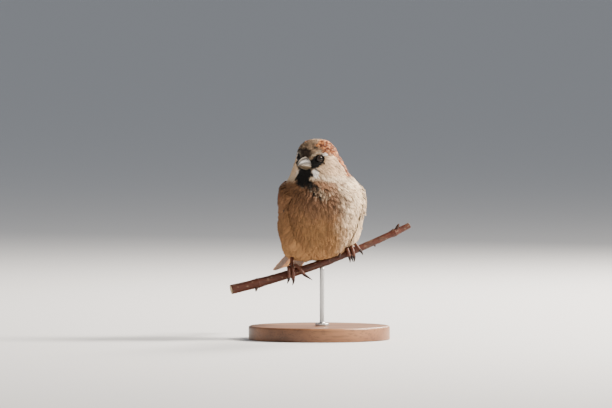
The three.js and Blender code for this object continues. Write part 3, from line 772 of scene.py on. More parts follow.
# ---- feathers of the body: barbs on either side of a shaft ----
def barb_template(barbs, seed, loose):
    """One soft feather. Returns for each point its share of the length, its share of the half-width and its
    lift, and the quads. Barbs slant forward from the shaft, overlap at the root and part at the rim."""
    pick = np.random.default_rng(seed)
    spots, quads = [], []
    step = 0.88 / barbs
    for barb in range(2 * barbs):
        root = 0.02 + step * (barb % barbs + 0.5)
        rim = root + (0.42 - 0.33 * root) * (1 - 0.25 * loose * pick.random())
        width = math.sin(math.pi * min(1.0, 0.14 + 0.80 * rim)) ** 0.6 * (1 - loose * pick.random())
        rise = pick.normal(0, 0.07)
        start = len(spots)
        for share, thick in ((0.0, 1.0), (0.55, 0.75), (1.0, 0.08)):
            at = root + (rim - root) * share**1.2
            out = width * share if barb >= barbs else -width * share
            for edge in (-1, 1):
                spots.append((min(1.0, at + edge * step * 0.9 * thick), out, rise * share + 0.04 * edge))
        quads += [(start + k, start + k + 1, start + k + 3, start + k + 2) for k in (0, 2)]
    return (*np.array(spots).T, np.array(quads))


def centre_lines(roots, normals, lengths, yaw, steps=4):
    """Lines along the form from each root, following the lie. Returns the points, normals and tangents."""
    heading = lie(roots, normals)
    heading = unit(heading + np.cross(normals, heading) * yaw[:, None])
    rows = [(roots, normals, heading)]
    here, up = roots, normals
    for _ in range(steps):
        here, up = form.nearest(here + heading * (lengths / steps)[:, None])
        flow = lie(here, up)
        heading = heading * 0.6 + unit(flow + np.cross(up, flow) * yaw[:, None]) * 0.4
        heading = unit(heading - dot(heading, up) * up)
        rows.append((here, up, heading))
    return [np.stack(row, 1) for row in zip(*rows)]


def along_lines(lines, shares):
    """Points on each line, feathers by steps by 3, at shares of its length."""
    steps = lines.shape[1] - 1
    at = np.clip(shares * steps, 0, steps - 1e-6)
    low = at.astype(int)
    part = (at - low)[..., None]
    rows = np.arange(len(lines))[:, None]
    return lines[rows, low] * (1 - part) + lines[rows, low + 1] * part


def feather_colours(along, across, base, fringe, streak):
    """Colours of soft feathers: darker at the root, and pale rims or dark centres where asked."""
    tone = base[:, None] * (0.86 + 0.2 * along[None, :, None])
    tone = mix(tone, PALE * 0.8, fringe[:, None] * smooth(0.8, 0.97, along) * 0.7)
    return mix(tone, DARK_BROWN * 0.5, smooth(0.45, 0.25, np.abs(across - 0.15)) * streak[:, None])


def barbed_feathers(template, lines, ups, ahead, half_widths, bake, base, fringe, streak, depth, lift, reach):
    """Places one template on every centre line. depth is how far under the form the root starts, lift how
    far over it the tip ends and reach the share of the line used."""
    along, across, rise, quads = template
    shares = np.minimum(along[None, :] * reach[:, None], 1.0)
    up = unit(along_lines(ups, shares))
    side = unit(np.cross(along_lines(ahead, shares), up))
    height = -depth[:, None] * (1 - along) ** 1.3 + lift[:, None] * along**2
    height = height + rise * half_widths[:, None] * 0.5 - 0.10 * half_widths[:, None] * across**2
    points = along_lines(lines, shares) + up * height[..., None]
    points = points + side * (across * half_widths[:, None])[..., None]
    colours = feather_colours(along, across, base, fringe, streak)
    places = bake[:, None] + PATCH * np.stack((across, along * 2 - 1), axis=1)
    faces = quads + (np.arange(len(lines)) * len(along))[:, None, None]
    return points.reshape(-1, 3), faces.reshape(-1, 4), colours.reshape(-1, 3), places.reshape(-1, 2)


def grown(feathers, kinds, templates):
    """All the feathers on their centre lines, each with the template of its kind. feathers holds an array for
    each thing that barbed_feathers takes. A kind below 0 is left out."""
    parts = []
    for kind, template in enumerate(templates):
        chosen = kinds == kind
        if chosen.any():
            picked = {name: values[chosen] for name, values in feathers.items()}
            parts.append(barbed_feathers(template, **picked))
    return joined(parts)


def clear_of_eyes(lines):
    """The share of each line that can be used before it runs over an eye."""
    place = in_half_head(lines)
    offset = place - EYE_AT
    offset = offset - (offset @ EYE_AXIS)[..., None] * EYE_AXIS
    near = (np.linalg.norm(offset, axis=2) < EYE_OPENING + 0.1) & (place[..., 0] > 4)
    steps = lines.shape[1] - 1
    first = np.where(near.any(axis=1), near.argmax(axis=1), steps + 1)
    return np.clip((first - 0.6) / steps, 0, 1)


def lifted_over_wings(lines, ups):
    """Lines that run onto a wing rise gently over its edge, and those rooted under it stay there. Returns
    them and the share of each that is used."""
    count, steps = len(lines), lines.shape[1] - 1
    limit = 6.0
    gap = wing_solids.reach((lines - ups).reshape(-1, 3), ups.reshape(-1, 3), limit).reshape(count, steps + 1)
    covered = gap < limit
    rooted_under = covered[:, 0]
    rise = np.where(covered & ~rooted_under[:, None], np.clip(gap - 1.0, 0, 5) + 1.9, 0.0)
    eased = rise.copy()
    eased[:, :-1] = np.maximum(eased[:, :-1], 0.5 * rise[:, 1:])
    eased[:, 0] = 0
    first = np.where(covered.any(axis=1), covered.argmax(axis=1), steps)
    used = np.clip((first + 0.8) / steps, 0, 1)
    used = np.where(rooted_under, np.where(covered[:, -1], 0.0, 1.0), used)
    return lines + ups * eased[..., None], used


def body_coat(roots, normals, barbs, seed, width_shares, loose):
    """Body feathers on these roots, as arrays for a mesh."""
    count = len(roots)
    body = roots - BIRD
    lengths = feather_length(roots) * rng.uniform(0.85, 1.18, count)
    lines, ups, ahead = centre_lines(roots, normals, lengths, rng.normal(0, 0.13, count))
    reach = clear_of_eyes(lines)
    lines, over_wing = lifted_over_wings(lines, ups)
    reach = np.minimum(reach, over_wing)
    nape = bump_at(distance_from(in_half_head(roots), NAPE), 0, NAPE_REACH)
    lines = lines + ups * (NAPE_RISE * nape)[:, None, None]
    colour, fringed, streaked = markings(lines[:, 2], ups[:, 2])
    variety = 0.08 + 0.1 * smooth(56, 62, body[:, 2])[:, None]
    colour = colour * (1 + rng.uniform(-1, 1, (count, 1)) * variety)
    fringed = np.clip(fringed * 2.4 * rng.random(count) ** 2, 0, 1)
    half_widths = lengths * rng.uniform(*width_shares, count)
    fluffed = smooth(4, 14, body @ MIDLINE) * smooth(20, 34, body[:, 2])
    lift = lengths * (rng.normal(0.015, 0.02, count) + 0.11 * fluffed * rng.random(count))
    templates = [barb_template(barbs, seed + k, loose) for k in range(5)]
    kinds = np.where(reach > 0.25, rng.integers(0, len(templates), count), -1)
    feathers = {
        "lines": lines, "ups": ups, "ahead": ahead, "half_widths": half_widths, "bake": unwrap(roots),
        "base": colour, "fringe": fringed, "streak": streaked,
        "depth": np.minimum(lengths * COAT_DEPTH, 2.4), "lift": lift, "reach": reach,
    }
    return grown(feathers, kinds, templates)


def add_coat(name, arrays):
    dress(new_mesh(name, *arrays), PLUMAGE, "plumage")


def add_skin():
    """The skin under the coat, inside the form by the coat's depth, with the same markings, darkened as
    painted shade where it shows between the feathers.
    """
    depth = np.minimum(feather_length(form_points) * COAT_DEPTH, 2.0)
    eye_gap = distance_from(np.abs(in_head(form_points)), np.abs(EYE_AT))
    depth = depth + 0.5 * bump_at(eye_gap, 0, 3.5)
    # 0.7 of the coat's colour: painted shade in the gaps between the feathers
    colour = markings(form_points, form_normals)[0] * 0.7
    points = form_points - form_normals * depth[:, None]
    dress(new_mesh("skin", points, form_faces, colour, unwrap(form_points)), DOWN, "plumage", *FLESH)


def add_body_coat():
    """All the contour feathers of head, neck, trunk and thighs, in pieces by region."""
    roots, normals = scatter(body_spacing, ROOTS_TRIED)
    place = in_head(roots)
    on_bill = (place[:, 1] < -9) & ((place[:, 0] / 3.5) ** 2 + ((place[:, 2] + 3.4) / 3.7) ** 2 < 1)
    bare = on_bill | covered_by_wing(roots, normals)
    roots, normals, place = roots[~bare], normals[~bare], place[~bare]
    body = roots - BIRD
    above = body[:, 2] > NECK_HEIGHT
    ahead = place[:, 1] < 0
    back = ~above & ((body[:, 1] > 12) | (normals[:, 1] > 0.3))
    front = ~above & ~back
    breast = front & (body[:, 2] > BREAST_HEIGHT)
    left = body @ MIDLINE > 0
    # the roots, the barbs on each side, the seed, the half-width for the length, and how loose the barbs are
    for name, chosen, *feather in (
        ("coat_face", above & ahead, 11, 100, (0.22, 0.28), 0.35),
        ("coat_head", above & ~ahead, 13, 200, (0.22, 0.28), 0.35),
        ("coat_breast", breast, 28, 300, (0.17, 0.23), 0.5),
        ("coat_belly_left", front & ~breast & left, 34, 400, (0.15, 0.2), 0.55),
        ("coat_belly_right", front & ~breast & ~left, 34, 450, (0.15, 0.2), 0.55),
        ("coat_back", back, 22, 500, (0.2, 0.26), 0.3),
    ):
        add_coat(name, body_coat(roots[chosen], normals[chosen], *feather))


add_skin()
add_body_coat()


# ---- smooth flight feathers ----
def vane(place, width, paint, rows, columns, left_share, thickness, beneath=0.8):
    """One closed thin feather. place(s, a, h) gives points at the share s of its length, a millimetres to one
    side of the shaft and h above it. width gives its half-width at s, times left_share on the left, and paint
    its colour at s and x, where x runs from -1 to 1 across. beneath multiplies the colour of the underside.
    Returns points, faces, colours, places on the feather's own map and where the barbs' lines run."""
    s = np.linspace(0, 1, rows)[:, None]
    x = np.linspace(-1, 1, columns)[None, :]
    across = x * width(s) * np.where(x < 0, left_share, 1)
    s, x = np.broadcast_arrays(s, x)
    camber = -0.012 * across**2
    lens = thickness * (0.25 + 0.75 * (1 - x**2))
    shaft = 0.22 * bump_at(x, 0, 0.14) * (1 - 0.8 * s)
    over = place(s, across, camber + lens / 2 + shaft)
    under = place(s, across, camber - lens / 2)
    points, faces = closed_tube(np.concatenate((over, under[:, ::-1]), axis=1))
    tint = paint(s, x)
    tint = with_ends(np.concatenate((tint, tint[:, ::-1] * beneath), axis=1))
    length, around = np.meshgrid(np.linspace(0, 1, rows + 2), np.linspace(0, 1, 2 * columns), indexing="ij")
    spot = np.stack((around, length), axis=2)
    lines = np.stack((with_ends(np.abs(np.concatenate((x, x), axis=1))), length * 3), axis=2)
    return points, faces[:, ::-1], tint.reshape(-1, 3), spot.reshape(-1, 2), lines.reshape(-1, 2)


def round_tip(s, start, power=0.5):
    """A feather's width over its length: quick to its full width, then round at the tip from start on."""
    rise = np.minimum(1, 0.35 + 5 * s) * np.where(s < 0.02, 0.5, 1)
    fall = np.clip(1 - (np.clip((s - start) / (1 - start), 0, 1)) ** 2, 0.01, 1) ** power
    return rise * fall


def add_vanes(name, vanes, *nodes):
    """Joins vanes in one piece, each with its own place on the piece's map."""
    columns = math.ceil(math.sqrt(len(vanes)))
    rows = math.ceil(len(vanes) / columns)
    parts = []
    for i, (points, faces, tint, spot, lines) in enumerate(vanes):
        cell = np.array((i % columns, i // columns))
        parts.append((points, faces, tint, (cell + 0.03 + 0.94 * spot) / (columns, rows), lines))
    dress(welded(new_mesh(name, *joined(parts))), VANES, "quills", *nodes)


def edged(centre, edge, tip=None, from_rim=0.62, tip_from=0.9):
    """The pattern of a flight feather: a dark centre, paler edges, and another tip where one is given."""
    def paint(s, x):
        ripple = 0.06 * np.sin(s * 41 + x * 7)
        tone = mix(centre, edge, smooth(from_rim, 0.92, np.abs(x) + ripple))
        if tip is not None:
            tone = mix(tone, tip, smooth(tip_from - 0.05, tip_from + 0.05, s + ripple))
        barred = (1 - 0.12 * np.sin(s * 57 + x * 31))[..., None]
        return mix(tone * barred, DARK_BROWN * 0.6, 0.5 * bump_at(x, 0, 0.07))
    return paint


def rooted(paint, hidden):
    """A pattern whose root has the colour of the plumage that hides it."""
    return lambda s, x: mix(hidden, paint(s, x), smooth(0.1, 0.26, s))


# ---- the folded wings ----
QUILL = srgb(62, 46, 36)
QUILL_EDGE = srgb(172, 120, 72)
COVERT = srgb(50, 36, 28)
COVERT_EDGE = srgb(160, 98, 52)
WING_BAR = srgb(214, 196, 170)
SHOULDER = srgb(126, 62, 28)
# Each row of feathers, from its lowest feather to its highest: how many, where the first and last are rooted
# and where they end as (t, q), half-width, height over the body at the root and tip, and the pattern.
WING_ROWS = {
    "primaries": (
        7, ((0.36, 0.05), (0.38, 0.34)), ((0.985, 0.44), (0.82, 0.62)), 3.1, (0.25, 0.85), (0.2, 0.5),
        edged(QUILL, QUILL_EDGE * 0.9, from_rim=0.84),
    ),
    "secondaries": (
        6, ((0.27, 0.08), (0.3, 0.66)), ((0.63, 0.14), (0.73, 0.58)), 3.4, (0.8, 1.15), (0.7, 0.8),
        edged(QUILL, QUILL_EDGE, from_rim=0.68),
    ),
    "primary_coverts": (
        4, ((0.17, 0.06), (0.18, 0.2)), ((0.45, 0.05), (0.42, 0.2)), 2.4, (0.9, 1.2), (0.9, 1.1),
        edged(COVERT * 0.9, QUILL_EDGE * 0.8, from_rim=0.75),
    ),
    "tertials": (
        3, ((0.28, 0.68), (0.28, 0.92)), ((0.71, 0.68), (0.55, 0.88)), 4.3, (1.2, 1.5), (1.1, 1.3),
        edged(COVERT * 0.85, QUILL_EDGE * 1.05, PALE * 0.55, from_rim=0.6, tip_from=0.97),
    ),
    "greater_coverts": (
        9, ((0.12, 0.06), (0.13, 0.94)), ((0.36, 0.06), (0.42, 0.88)), 3.1, (1.2, 1.4), (1.35, 1.6),
        edged(COVERT, COVERT_EDGE, from_rim=0.5),
    ),
    "median_coverts": (
        7, ((0.05, 0.22), (0.06, 0.84)), ((0.24, 0.2), (0.29, 0.8)), 2.8, (1.3, 1.5), (1.7, 1.9),
        edged(COVERT * 0.8, COVERT * 0.9, WING_BAR, tip_from=0.66),
    ),
}
WING_VANE = {"rows": 26, "columns": 11, "left_share": 0.85, "thickness": 0.32}
SHINGLE = 0.075  # how steeply each feather tucks its upper edge under the next one
WING_CLEARANCE = 0.95  # between the body's form and the wing's lowest feathers
HIDDEN_ROOTS = 3  # the lowest coverts, whose roots the breast feathers hide
SPREAD_STEPS = (0.7548776662, 0.5698402910)  # an even spread over a square


class WingRoom:
    """The space over one side of the body where the wing lies. A place in it is t, the share of the wing's
    length from the bend to the tip, q, 0 at the wing's lower edge and 1 at its upper, and a height."""

    def __init__(self, side):
        self.side = side
        self.t = np.linspace(-0.2, 1.1, 53)
        self.degrees = np.linspace(-90, 100, 77)
        t, degrees = np.meshgrid(self.t, self.degrees, indexing="ij")
        out = self.out(degrees)
        far = 45.0
        outside = (self.axis(t) + out * far).reshape(-1, 3)
        reach = far - form.reach(outside, -out.reshape(-1, 3), far).reshape(t.shape)
        innermost = np.interp(t, np.linspace(0, 1, 11), (0, 0, 0, 0, 0, 6, 7.6, 7.6, 6.8, 6.2, 6.0))
        radius = np.maximum(reach, innermost) + WING_CLEARANCE
        for _ in range(3):
            padded = np.pad(radius, 1, mode="edge")
            radius = (padded[:-2, 1:-1] + padded[2:, 1:-1] + padded[1:-1, :-2] + padded[1:-1, 2:]) / 4
        self.radius = radius

    def axis(self, t):
        return WING["from"] + WING_ALONG * (t * WING["length"])[..., None]

    def out(self, degrees):
        angle = np.radians(degrees)[..., None]
        return LEFTWARD * self.side * np.cos(angle) + WING_UP * np.sin(angle)

    def radius_at(self, t, degrees):
        i, j = (
            np.clip((value - line[0]) / (line[1] - line[0]), 0, len(line) - 1.001)
            for value, line in ((t, self.t), (degrees, self.degrees))
        )
        i0, j0 = i.astype(int), j.astype(int)
        a, b = i - i0, j - j0
        low = self.radius[i0, j0] * (1 - b) + self.radius[i0, j0 + 1] * b
        high = self.radius[i0 + 1, j0] * (1 - b) + self.radius[i0 + 1, j0 + 1] * b
        return low * (1 - a) + high * a

    def angle(self, t, q):
        steps = np.linspace(0, 1, len(WING_LOWEST))
        return between(np.interp(t, steps, WING_LOWEST), np.interp(t, steps, WING_HIGHEST), q)

    def width(self, t):
        """How wide the folded wing is, in millimetres."""
        span = self.angle(t, 1.0) - self.angle(t, 0.0)
        return np.radians(span) * self.radius_at(t, self.angle(t, 0.5))

    def place(self, t, degrees, height):
        return self.axis(t) + self.out(degrees) * (self.radius_at(t, degrees) + height)[..., None]

    def along(self, route, s, across, height):
        """Points beside a route. route(s) gives t and q; positive across is towards the back."""
        t, q = route(s)
        degrees = self.angle(t, q)
        ahead_t, ahead_q = route(s + 0.01)
        step_length = (ahead_t - t) * WING["length"]
        per_degree = np.radians(self.radius_at(t, degrees))
        step_up = (self.angle(ahead_t, ahead_q) - degrees) * per_degree
        size = np.sqrt(step_length**2 + step_up**2) + 1e-9
        t = t - across * step_up / size / WING["length"]
        degrees = degrees + across * step_length / size / per_degree
        return self.place(t, degrees, height)


def wing_vane(room, first_share, root, tip, half, low, high, wave, rounded, paint):
    """One smooth feather of the wing from root to tip, its height over the body from low to high."""
    def route(s):
        return between(np.maximum(root[0], first_share), tip[0], s), between(root[1], tip[1], s)

    def place(s, across, height):
        rise = between(low, high, s) - SHINGLE * across * smooth(0, 0.15, s)
        return room.along(route, s, across, rise + height)

    def width(s):
        limit = 0.6 * room.width(np.clip(route(s)[0], 0, 1)) + 0.5
        frayed = 1 + 0.035 * np.sin(s * 29 + wave) + 0.025 * np.sin(s * 71 + 2 * wave)
        return np.minimum(half, limit) * frayed * round_tip(s, rounded)

    return vane(place, width, paint, **WING_VANE)


def wing_vanes(room, first_share):
    """The rows of smooth feathers of one wing. first_share is where the wing starts to show."""
    # roots take the colour of the plumage over them: pale buff with painted light on the bird's left, buff
    # with painted shade on its right
    hidden = PALE_LIT_BREAST_SIDE * 0.75 if room.side > 0 else SHADE_SIDE
    vanes = []
    for name, (count, *ends, half, root_height, tip_height, paint) in WING_ROWS.items():
        rounded = 0.7 if name == "tertials" else 0.8
        feathers = zip(*(np.linspace(*pair, count) for pair in (*ends, root_height, tip_height)))
        for i, (root, tip, low, high) in enumerate(feathers):
            tip = tip + rng.normal(0, 0.004, 2)
            if tip[0] < first_share + 0.05:
                continue
            wave = rng.uniform(0, 6)
            pattern = rooted(paint, hidden) if i < HIDDEN_ROOTS and "coverts" in name else paint
            vanes.append(wing_vane(room, first_share, root, tip, half, low, high, wave, rounded, pattern))
    return vanes


def wing_core(room, first_share):
    """Rings of the flesh and down under the wing's feathers, a thin shell inside the wing's outline, darkened
    as painted shade where it shows between them.
    """
    t, q = np.meshgrid(np.linspace(first_share + 0.02, 0.86, 40), np.linspace(0.05, 0.95, 18), indexing="ij")
    over, under = (room.place(t, room.angle(t, q), np.full(t.shape, height)) for height in (0.05, -0.7))
    return np.concatenate((over, under[:, ::-1]), axis=1)


def soft_on_wing(room, count, t_range, q_range, length, width, height, yaw, depth, lift, barbs, seed, tint):
    """A patch of soft feathers on the wing, spread evenly and turned upward by yaw in radians. width is for
    the length, and tint gives colour, fringe and streak at points."""
    spread = np.random.default_rng(seed)
    spots = (np.arange(count)[:, None] * SPREAD_STEPS + spread.random(2)) % 1.0
    t, q = between(*t_range, spots[:, 0]), between(*q_range, spots[:, 1])
    lengths = length * spread.uniform(0.85, 1.15, count)
    yaws = spread.normal(yaw, 0.12, count)
    degrees = room.angle(t, q)
    ahead_t = lengths * np.cos(yaws) / WING["length"]
    ahead_degrees = lengths * np.sin(yaws) / np.radians(room.radius_at(t, degrees))
    rows = [room.place(t + ahead_t * s, degrees + ahead_degrees * s, height) for s in np.linspace(0, 1, 5)]
    lines = np.stack(rows, axis=1)
    ahead = unit(np.gradient(lines, axis=1))
    out = room.out(degrees)[:, None]
    ups = unit(out - dot(out, ahead) * ahead)
    base, fringe, streak = tint(lines[:, 2], ups[:, 2])
    feathers = {
        "lines": lines, "ups": ups, "ahead": ahead, "half_widths": lengths * width,
        "bake": unwrap(lines[:, 0]), "base": base * spread.uniform(0.85, 1.12, (count, 1)),
        "fringe": fringe, "streak": streak,
        "depth": np.full(count, depth), "lift": np.full(count, lift), "reach": np.ones(count),
    }
    templates = [barb_template(barbs, seed + kind, 0.15) for kind in range(4)]
    return grown(feathers, np.arange(count) % len(templates), templates)


def shoulder_tint(points, normals):
    patchy = 1 + 0.2 * waves(points, 2.5, 31)
    return SHOULDER * patchy[:, None], np.full(len(points), 0.15), np.zeros(len(points))


def mantle_tint(points, normals):
    return mantle(points), np.full(len(points), 0.12), np.full(len(points), 0.85)


def add_wing(name, side, first, overlap_to):
    """One folded wing, from the share first of its length on: its core, rows of quills and coverts, soft
    lesser coverts and scapulars, and the breast feathers over its bend and lower edge up to overlap_to."""
    room = WingRoom(side)
    # the core in the quill colour darkened: painted shade between the feathers
    add_tubes(f"wing_{name}_core", [(wing_core(room, first), QUILL * 0.7)], DOWN, "quills")
    add_vanes(f"wing_{name}_feathers", wing_vanes(room, first), *WINGS[name])
    # how many, ranges of t and q, length, half-width, height, yaw, depth, lift, barbs, seed and colours
    patches = {
        "lesser_coverts": [
            (460, (first - 0.02, 0.135), (0.0, 1.0), 5.2, 0.36, 1.35, 0.0, 1.3, 0.5, 9, 600, shoulder_tint),
        ],
        "scapulars": [(560, (0.03, 0.3), (0.84, 1.3), 12.0, 0.16, 1.5, -0.1, 2.4, 1.1, 15, 620, mantle_tint)],
        "overlap": [
            (640, (first - 0.02, overlap_to), (-0.3, 0.1), 9.0, 0.22, 0.6, 0.22, 2.0, 1.7, 15, 640, markings),
            (280, (first - 0.06, 0.2), (-0.24, 0.16), 8.0, 0.24, 1.9, 0.1, 1.6, 0.7, 15, 660, markings),
        ],
    }
    for patch, beds in patches.items():
        add_coat(f"wing_{name}_{patch}", joined([soft_on_wing(room, *bed) for bed in beds]))


add_wing("left", 1, 0.07, 0.5)
add_wing("right", -1, 0.0, 0.45)


# ---- tail ----
TAIL_ROOT = BIRD + (0, 36, 13.2)
TAIL_ALONG, TAIL_UP = sloping(TAIL["droop"])
TAIL_VANE = {"rows": 44, "columns": 11, "left_share": 1, "thickness": 0.3}
TAIL_HALF_WIDTH = 3.5  # of one feather
DRAWN_IN = 0.65  # how far the feathers of the left half are spread, for those of the right
UNDER_SHADE = np.array((3.9, 3.2, 2.2))  # how much paler the tail is beneath


def tail_vane(rank, wave):
    """One tail feather, its rank counted outward from the tail's middle, straight from the root."""
    out = abs(rank) / ((TAIL["feathers"] - 1) / 2)
    spread = rank / TAIL["feathers"] * 2
    length = TAIL["length"] * (0.965 + 0.055 * out - 0.03 * out**6)

    def place(s, across, height):
        side = spread * between(TAIL["base"], TAIL["tip"] - 2 * TAIL_HALF_WIDTH, s) / 2
        side = side * (DRAWN_IN if spread > 0 else 1)
        lift = 1.2 - 1.3 * out**2 - 0.7 * out + 0.48 * np.sin(np.pi * s)
        tilt = (0.05 - 0.3 * out) * np.sign(spread) * across
        point = TAIL_ROOT + TAIL_ALONG * (length * s)[..., None] + TAIL_UP * (lift + height + tilt)[..., None]
        return point + LEFTWARD * (side + across)[..., None]

    def width(s):
        frayed = 1 + 0.03 * np.sin(s * 37 + wave) + 0.02 * np.sin(s * 83 + wave)
        return TAIL_HALF_WIDTH * np.minimum(1, 0.45 + 2.2 * s) * frayed * round_tip(s, 0.88, 0.45)

    paint = edged(QUILL, QUILL_EDGE * 0.85, from_rim=0.9)
    return vane(place, width, paint, **TAIL_VANE, beneath=UNDER_SHADE * (1 - 0.5 * out**4))


def add_tail():
    """The tail's feathers, the middle pair on top."""
    ranks = np.arange(TAIL["feathers"]) - (TAIL["feathers"] - 1) / 2
    add_vanes("tail_feathers", [tail_vane(rank, rng.uniform(0, 6)) for rank in ranks], "tail")


add_tail()


# ---- bill ----
BILL_GREY = srgb(42, 39, 37)
BILL_PALE = srgb(168, 158, 146)
BILL_OLIVE = srgb(78, 66, 50)
BILL_DARK = srgb(24, 21, 20)
# For the upper and the lower half: which way it bulges, its length, its depth, what its root adds to that and
# how bluntly it ends, where its edge lies, its ridge, its hook, its colour and how much paler its ridge is.
# The paler ridge is partly the horn's own colour and partly a painted highlight.
BILL_HALVES = {
    "bill_upper": (1, BILL["length"], BILL["culmen"], 1.2, 2.1, 0, 0.05, 0.35, BILL_GREY, 0.9),
    "bill_lower": (-1, BILL["length"] * 0.9, BILL["gonys"], -0.9, 1.5, -0.15, 0.03, 0, BILL_OLIVE, 0.2),
}
NOSTRIL_AT, NOSTRIL_ANGLE = 0.19, 0.66  # its share of the length, and its angle from the ridge


def bill_edge(distance):
    """The line where the bill opens, at a distance from the bill's root."""
    share = np.clip(distance, 0, None) / BILL["length"]
    return BILL["level"] - 1.5 * (1 - share) ** 2.4 - 0.7 * share**4


def add_bill_half(name, way, length, depth, root, blunt, level, ridge, hook, base, pale):
    """Half of the bill as a closed tube: a domed and ridged culmen above, or the gonys below."""
    share, angle = np.meshgrid(np.linspace(-0.12, 1, 46), circle(48), indexing="ij")
    ahead = np.clip(share, 0, 1)
    half_width = BILL["half_width"] * (1 - ahead**1.25) ** 0.92 + 0.28
    height = (depth + root * (1 - ahead) ** 2) * (1 - ahead**blunt) ** 0.85 + 0.3
    rise = np.maximum(0, np.sin(angle)) ** 0.87
    ridged = 1 + ridge * bump_at(angle, math.pi / 2, 0.22)
    nostril = np.hypot((share - NOSTRIL_AT) * 12, (np.abs(angle - math.pi / 2) - NOSTRIL_ANGLE) * 4.2)
    nostril = bump_at(nostril, 0, 0.62) * (way > 0)
    hollow = (1 - 0.04 * bump_at(np.abs(np.cos(angle)), 0.75, 0.16)) * (1 - 0.12 * nostril)
    across = half_width * np.cos(angle) * hollow
    up = bill_edge(length * share) + level + way * height * rise * ridged - hook * smooth(0.86, 1.0, share)
    rings = np.stack((across, -BILL["root"] - length * share, up), axis=2)
    tone = layered(
        base,
        # a pale stripe along the ridge, a little to the bird's right of its top: partly the horn's own paler
        # ridge, partly a painted highlight
        (BILL_PALE, pale * bump_at(np.cos(angle) + 0.08, 0, 0.3) * smooth(1.1, 0.7, ahead)),
        (BILL_PALE, 0.7 * bump_at(rise, 0, 0.14) * smooth(0, 0.3, ahead)),
        (BILL_DARK, 0.6 * smooth(0.5, 1.0, ahead) * smooth(1.0, 0.7, np.sin(angle))),
        # the nostril's pit painted dark: painted shade in the hollow
        (BILL_DARK, np.clip(nostril * 1.3, 0, 1)),
    )
    add_tubes(f"{name}_horn", [(on_head(rings), tone)], HORN, "bill", name)


for half, shape in BILL_HALVES.items():
    add_bill_half(half, *shape)


# ---- eyes and lids ----
IRIS = srgb(30, 17, 11)
LID = srgb(32, 26, 23)
LID_WIDTH = 0.2
LID_CREASES = 36
IRIS_EDGE, IRIS_RING, PUPIL_EDGE = 0.79, 0.62, 0.47  # angles from the eye's axis, in radians


def add_eye(name, side):
    """The ball, with its pupil and iris, round the axis that it looks along."""
    centre = on_head(EYE_AT * (side, 1, 1))
    axis = EYE_AXIS * (side, 1, 1) @ HEAD_AXES.T
    angle = np.linspace(math.pi * 0.995, 0.01, 60)
    radius = EYE_RADIUS * (1 + 0.05 * smooth(0.75, 0.3, angle))
    rings = turned_profile(centre, axis, radius * np.sin(angle), radius * np.cos(angle), 48)
    tint = layered(
        LID * 0.5,
        (IRIS, smooth(IRIS_EDGE + 0.05, IRIS_EDGE - 0.05, angle)),
        (IRIS * 1.6, bump_at(angle, IRIS_RING, 0.1)),
        (BLACK * 0.25, smooth(PUPIL_EDGE + 0.03, PUPIL_EDGE - 0.03, angle)),
    )
    add_tubes(f"eye_{name}_ball", [(rings, tint[:, None])], EYE, "eye", f"eye_{name}")
    add_lids(name, centre, unit(axis))


def add_lids(name, centre, axis):
    """A soft ring with fine creases round the opening, thinner in front and behind."""
    rows, columns = 72, 16
    around, section = np.meshgrid(circle(rows), circle(columns), indexing="ij")
    opening = EYE_OPENING * (1 - 0.10 * np.abs(np.sin(around)) ** 1.5)
    crease = np.sin(around * LID_CREASES)
    thick = 1 + 0.1 * crease
    ring_radius = opening + LID_WIDTH * (1 + np.cos(section) * thick)
    height = np.sqrt(np.maximum(EYE_RADIUS**2 - opening**2, 0.1)) + LID_WIDTH * np.sin(section) * thick - 0.08
    up = unit(np.array((0, 0, 1.0)) - axis * axis[2])
    fore = np.cross(up, axis)
    lid = centre + axis * height[..., None]
    lid = lid + (fore * np.cos(around)[..., None] + up * np.sin(around)[..., None]) * ring_radius[..., None]
    faces = ring_faces(rows + 1, columns) % (rows * columns)
    # the lids lighter on the ridges of the creases and darker in their grooves: painted shade
    shade = LID * (1 + 0.175 * crease[..., None])
    piece = new_mesh(f"eye_{name}_lids", lid.reshape(-1, 3), faces, shade.reshape(-1, 3))
    dress(welded(piece), LIDS, "legs")


add_eye("left", 1)
add_eye("right", -1)


# ---- legs and feet ----
TOE_RADIUS, TARSUS_RADIUS, CLAW_RADIUS, CLAW_TIP = 1.15, 1.05, 0.74, 0.14
GAP = 0.3
LEG_PINK = srgb(104, 54, 30)
LEG_DARK = srgb(56, 27, 17)
CLAW_DARK = srgb(34, 22, 20)
SCUTES = {"tarsus": 9, "toe": 11}
SCUTE_DEPTH = 0.07
TARSUS_JOINTS = ((0.5, 0, 0.1), (0.25, 1, 0.15), (-0.12, 0.5, 0.3))
TOE_PADS = ((0.1, 0.3, 0.09), (0.1, 0.62, 0.08), (0.12, 0.92, 0.08))
# Each toe runs from one angle round the twig to another, 0 at its top and 90 at the front, and from spread to
# reach out along the twig; drop is how far its end hangs off the bark, then the claw's length and lean.
FEET = {
    "left": (1, 20.5, (18.5, 8, 18), {
        "inner": (14, 112, -3.0, -3.8, 0.3, 4.2, 0.2), "middle": (14, 128, 0, -0.8, 0.5, 4.4, -0.3),
        "outer": (14, 92, 2.6, 3.6, 0.2, 4.0, 0.4), "hind": (-36, -118, 0, -0.6, 0.4, 4.8, -0.6),
    }),
    "right": (-1, -19.3, (-18, 8.5, 9.5), {
        "inner": (14, 118, -2.2, -5.2, 0.9, 4.6, -4.0), "middle": (14, 130, 0, 1.8, 0.8, 4.4, 0.3),
        "outer": (14, 108, 2.2, 4.6, 0.4, 3.8, 0.7), "hind": (-36, -116, 0, 0.4, 0.4, 5.0, 0.3),
    }),
}
NODES_OF_GROWTH = ((0.55, 49, 2.6), (0.35, -43, 3), (0.25, 4, 4))  # how much the twig swells, where, how far


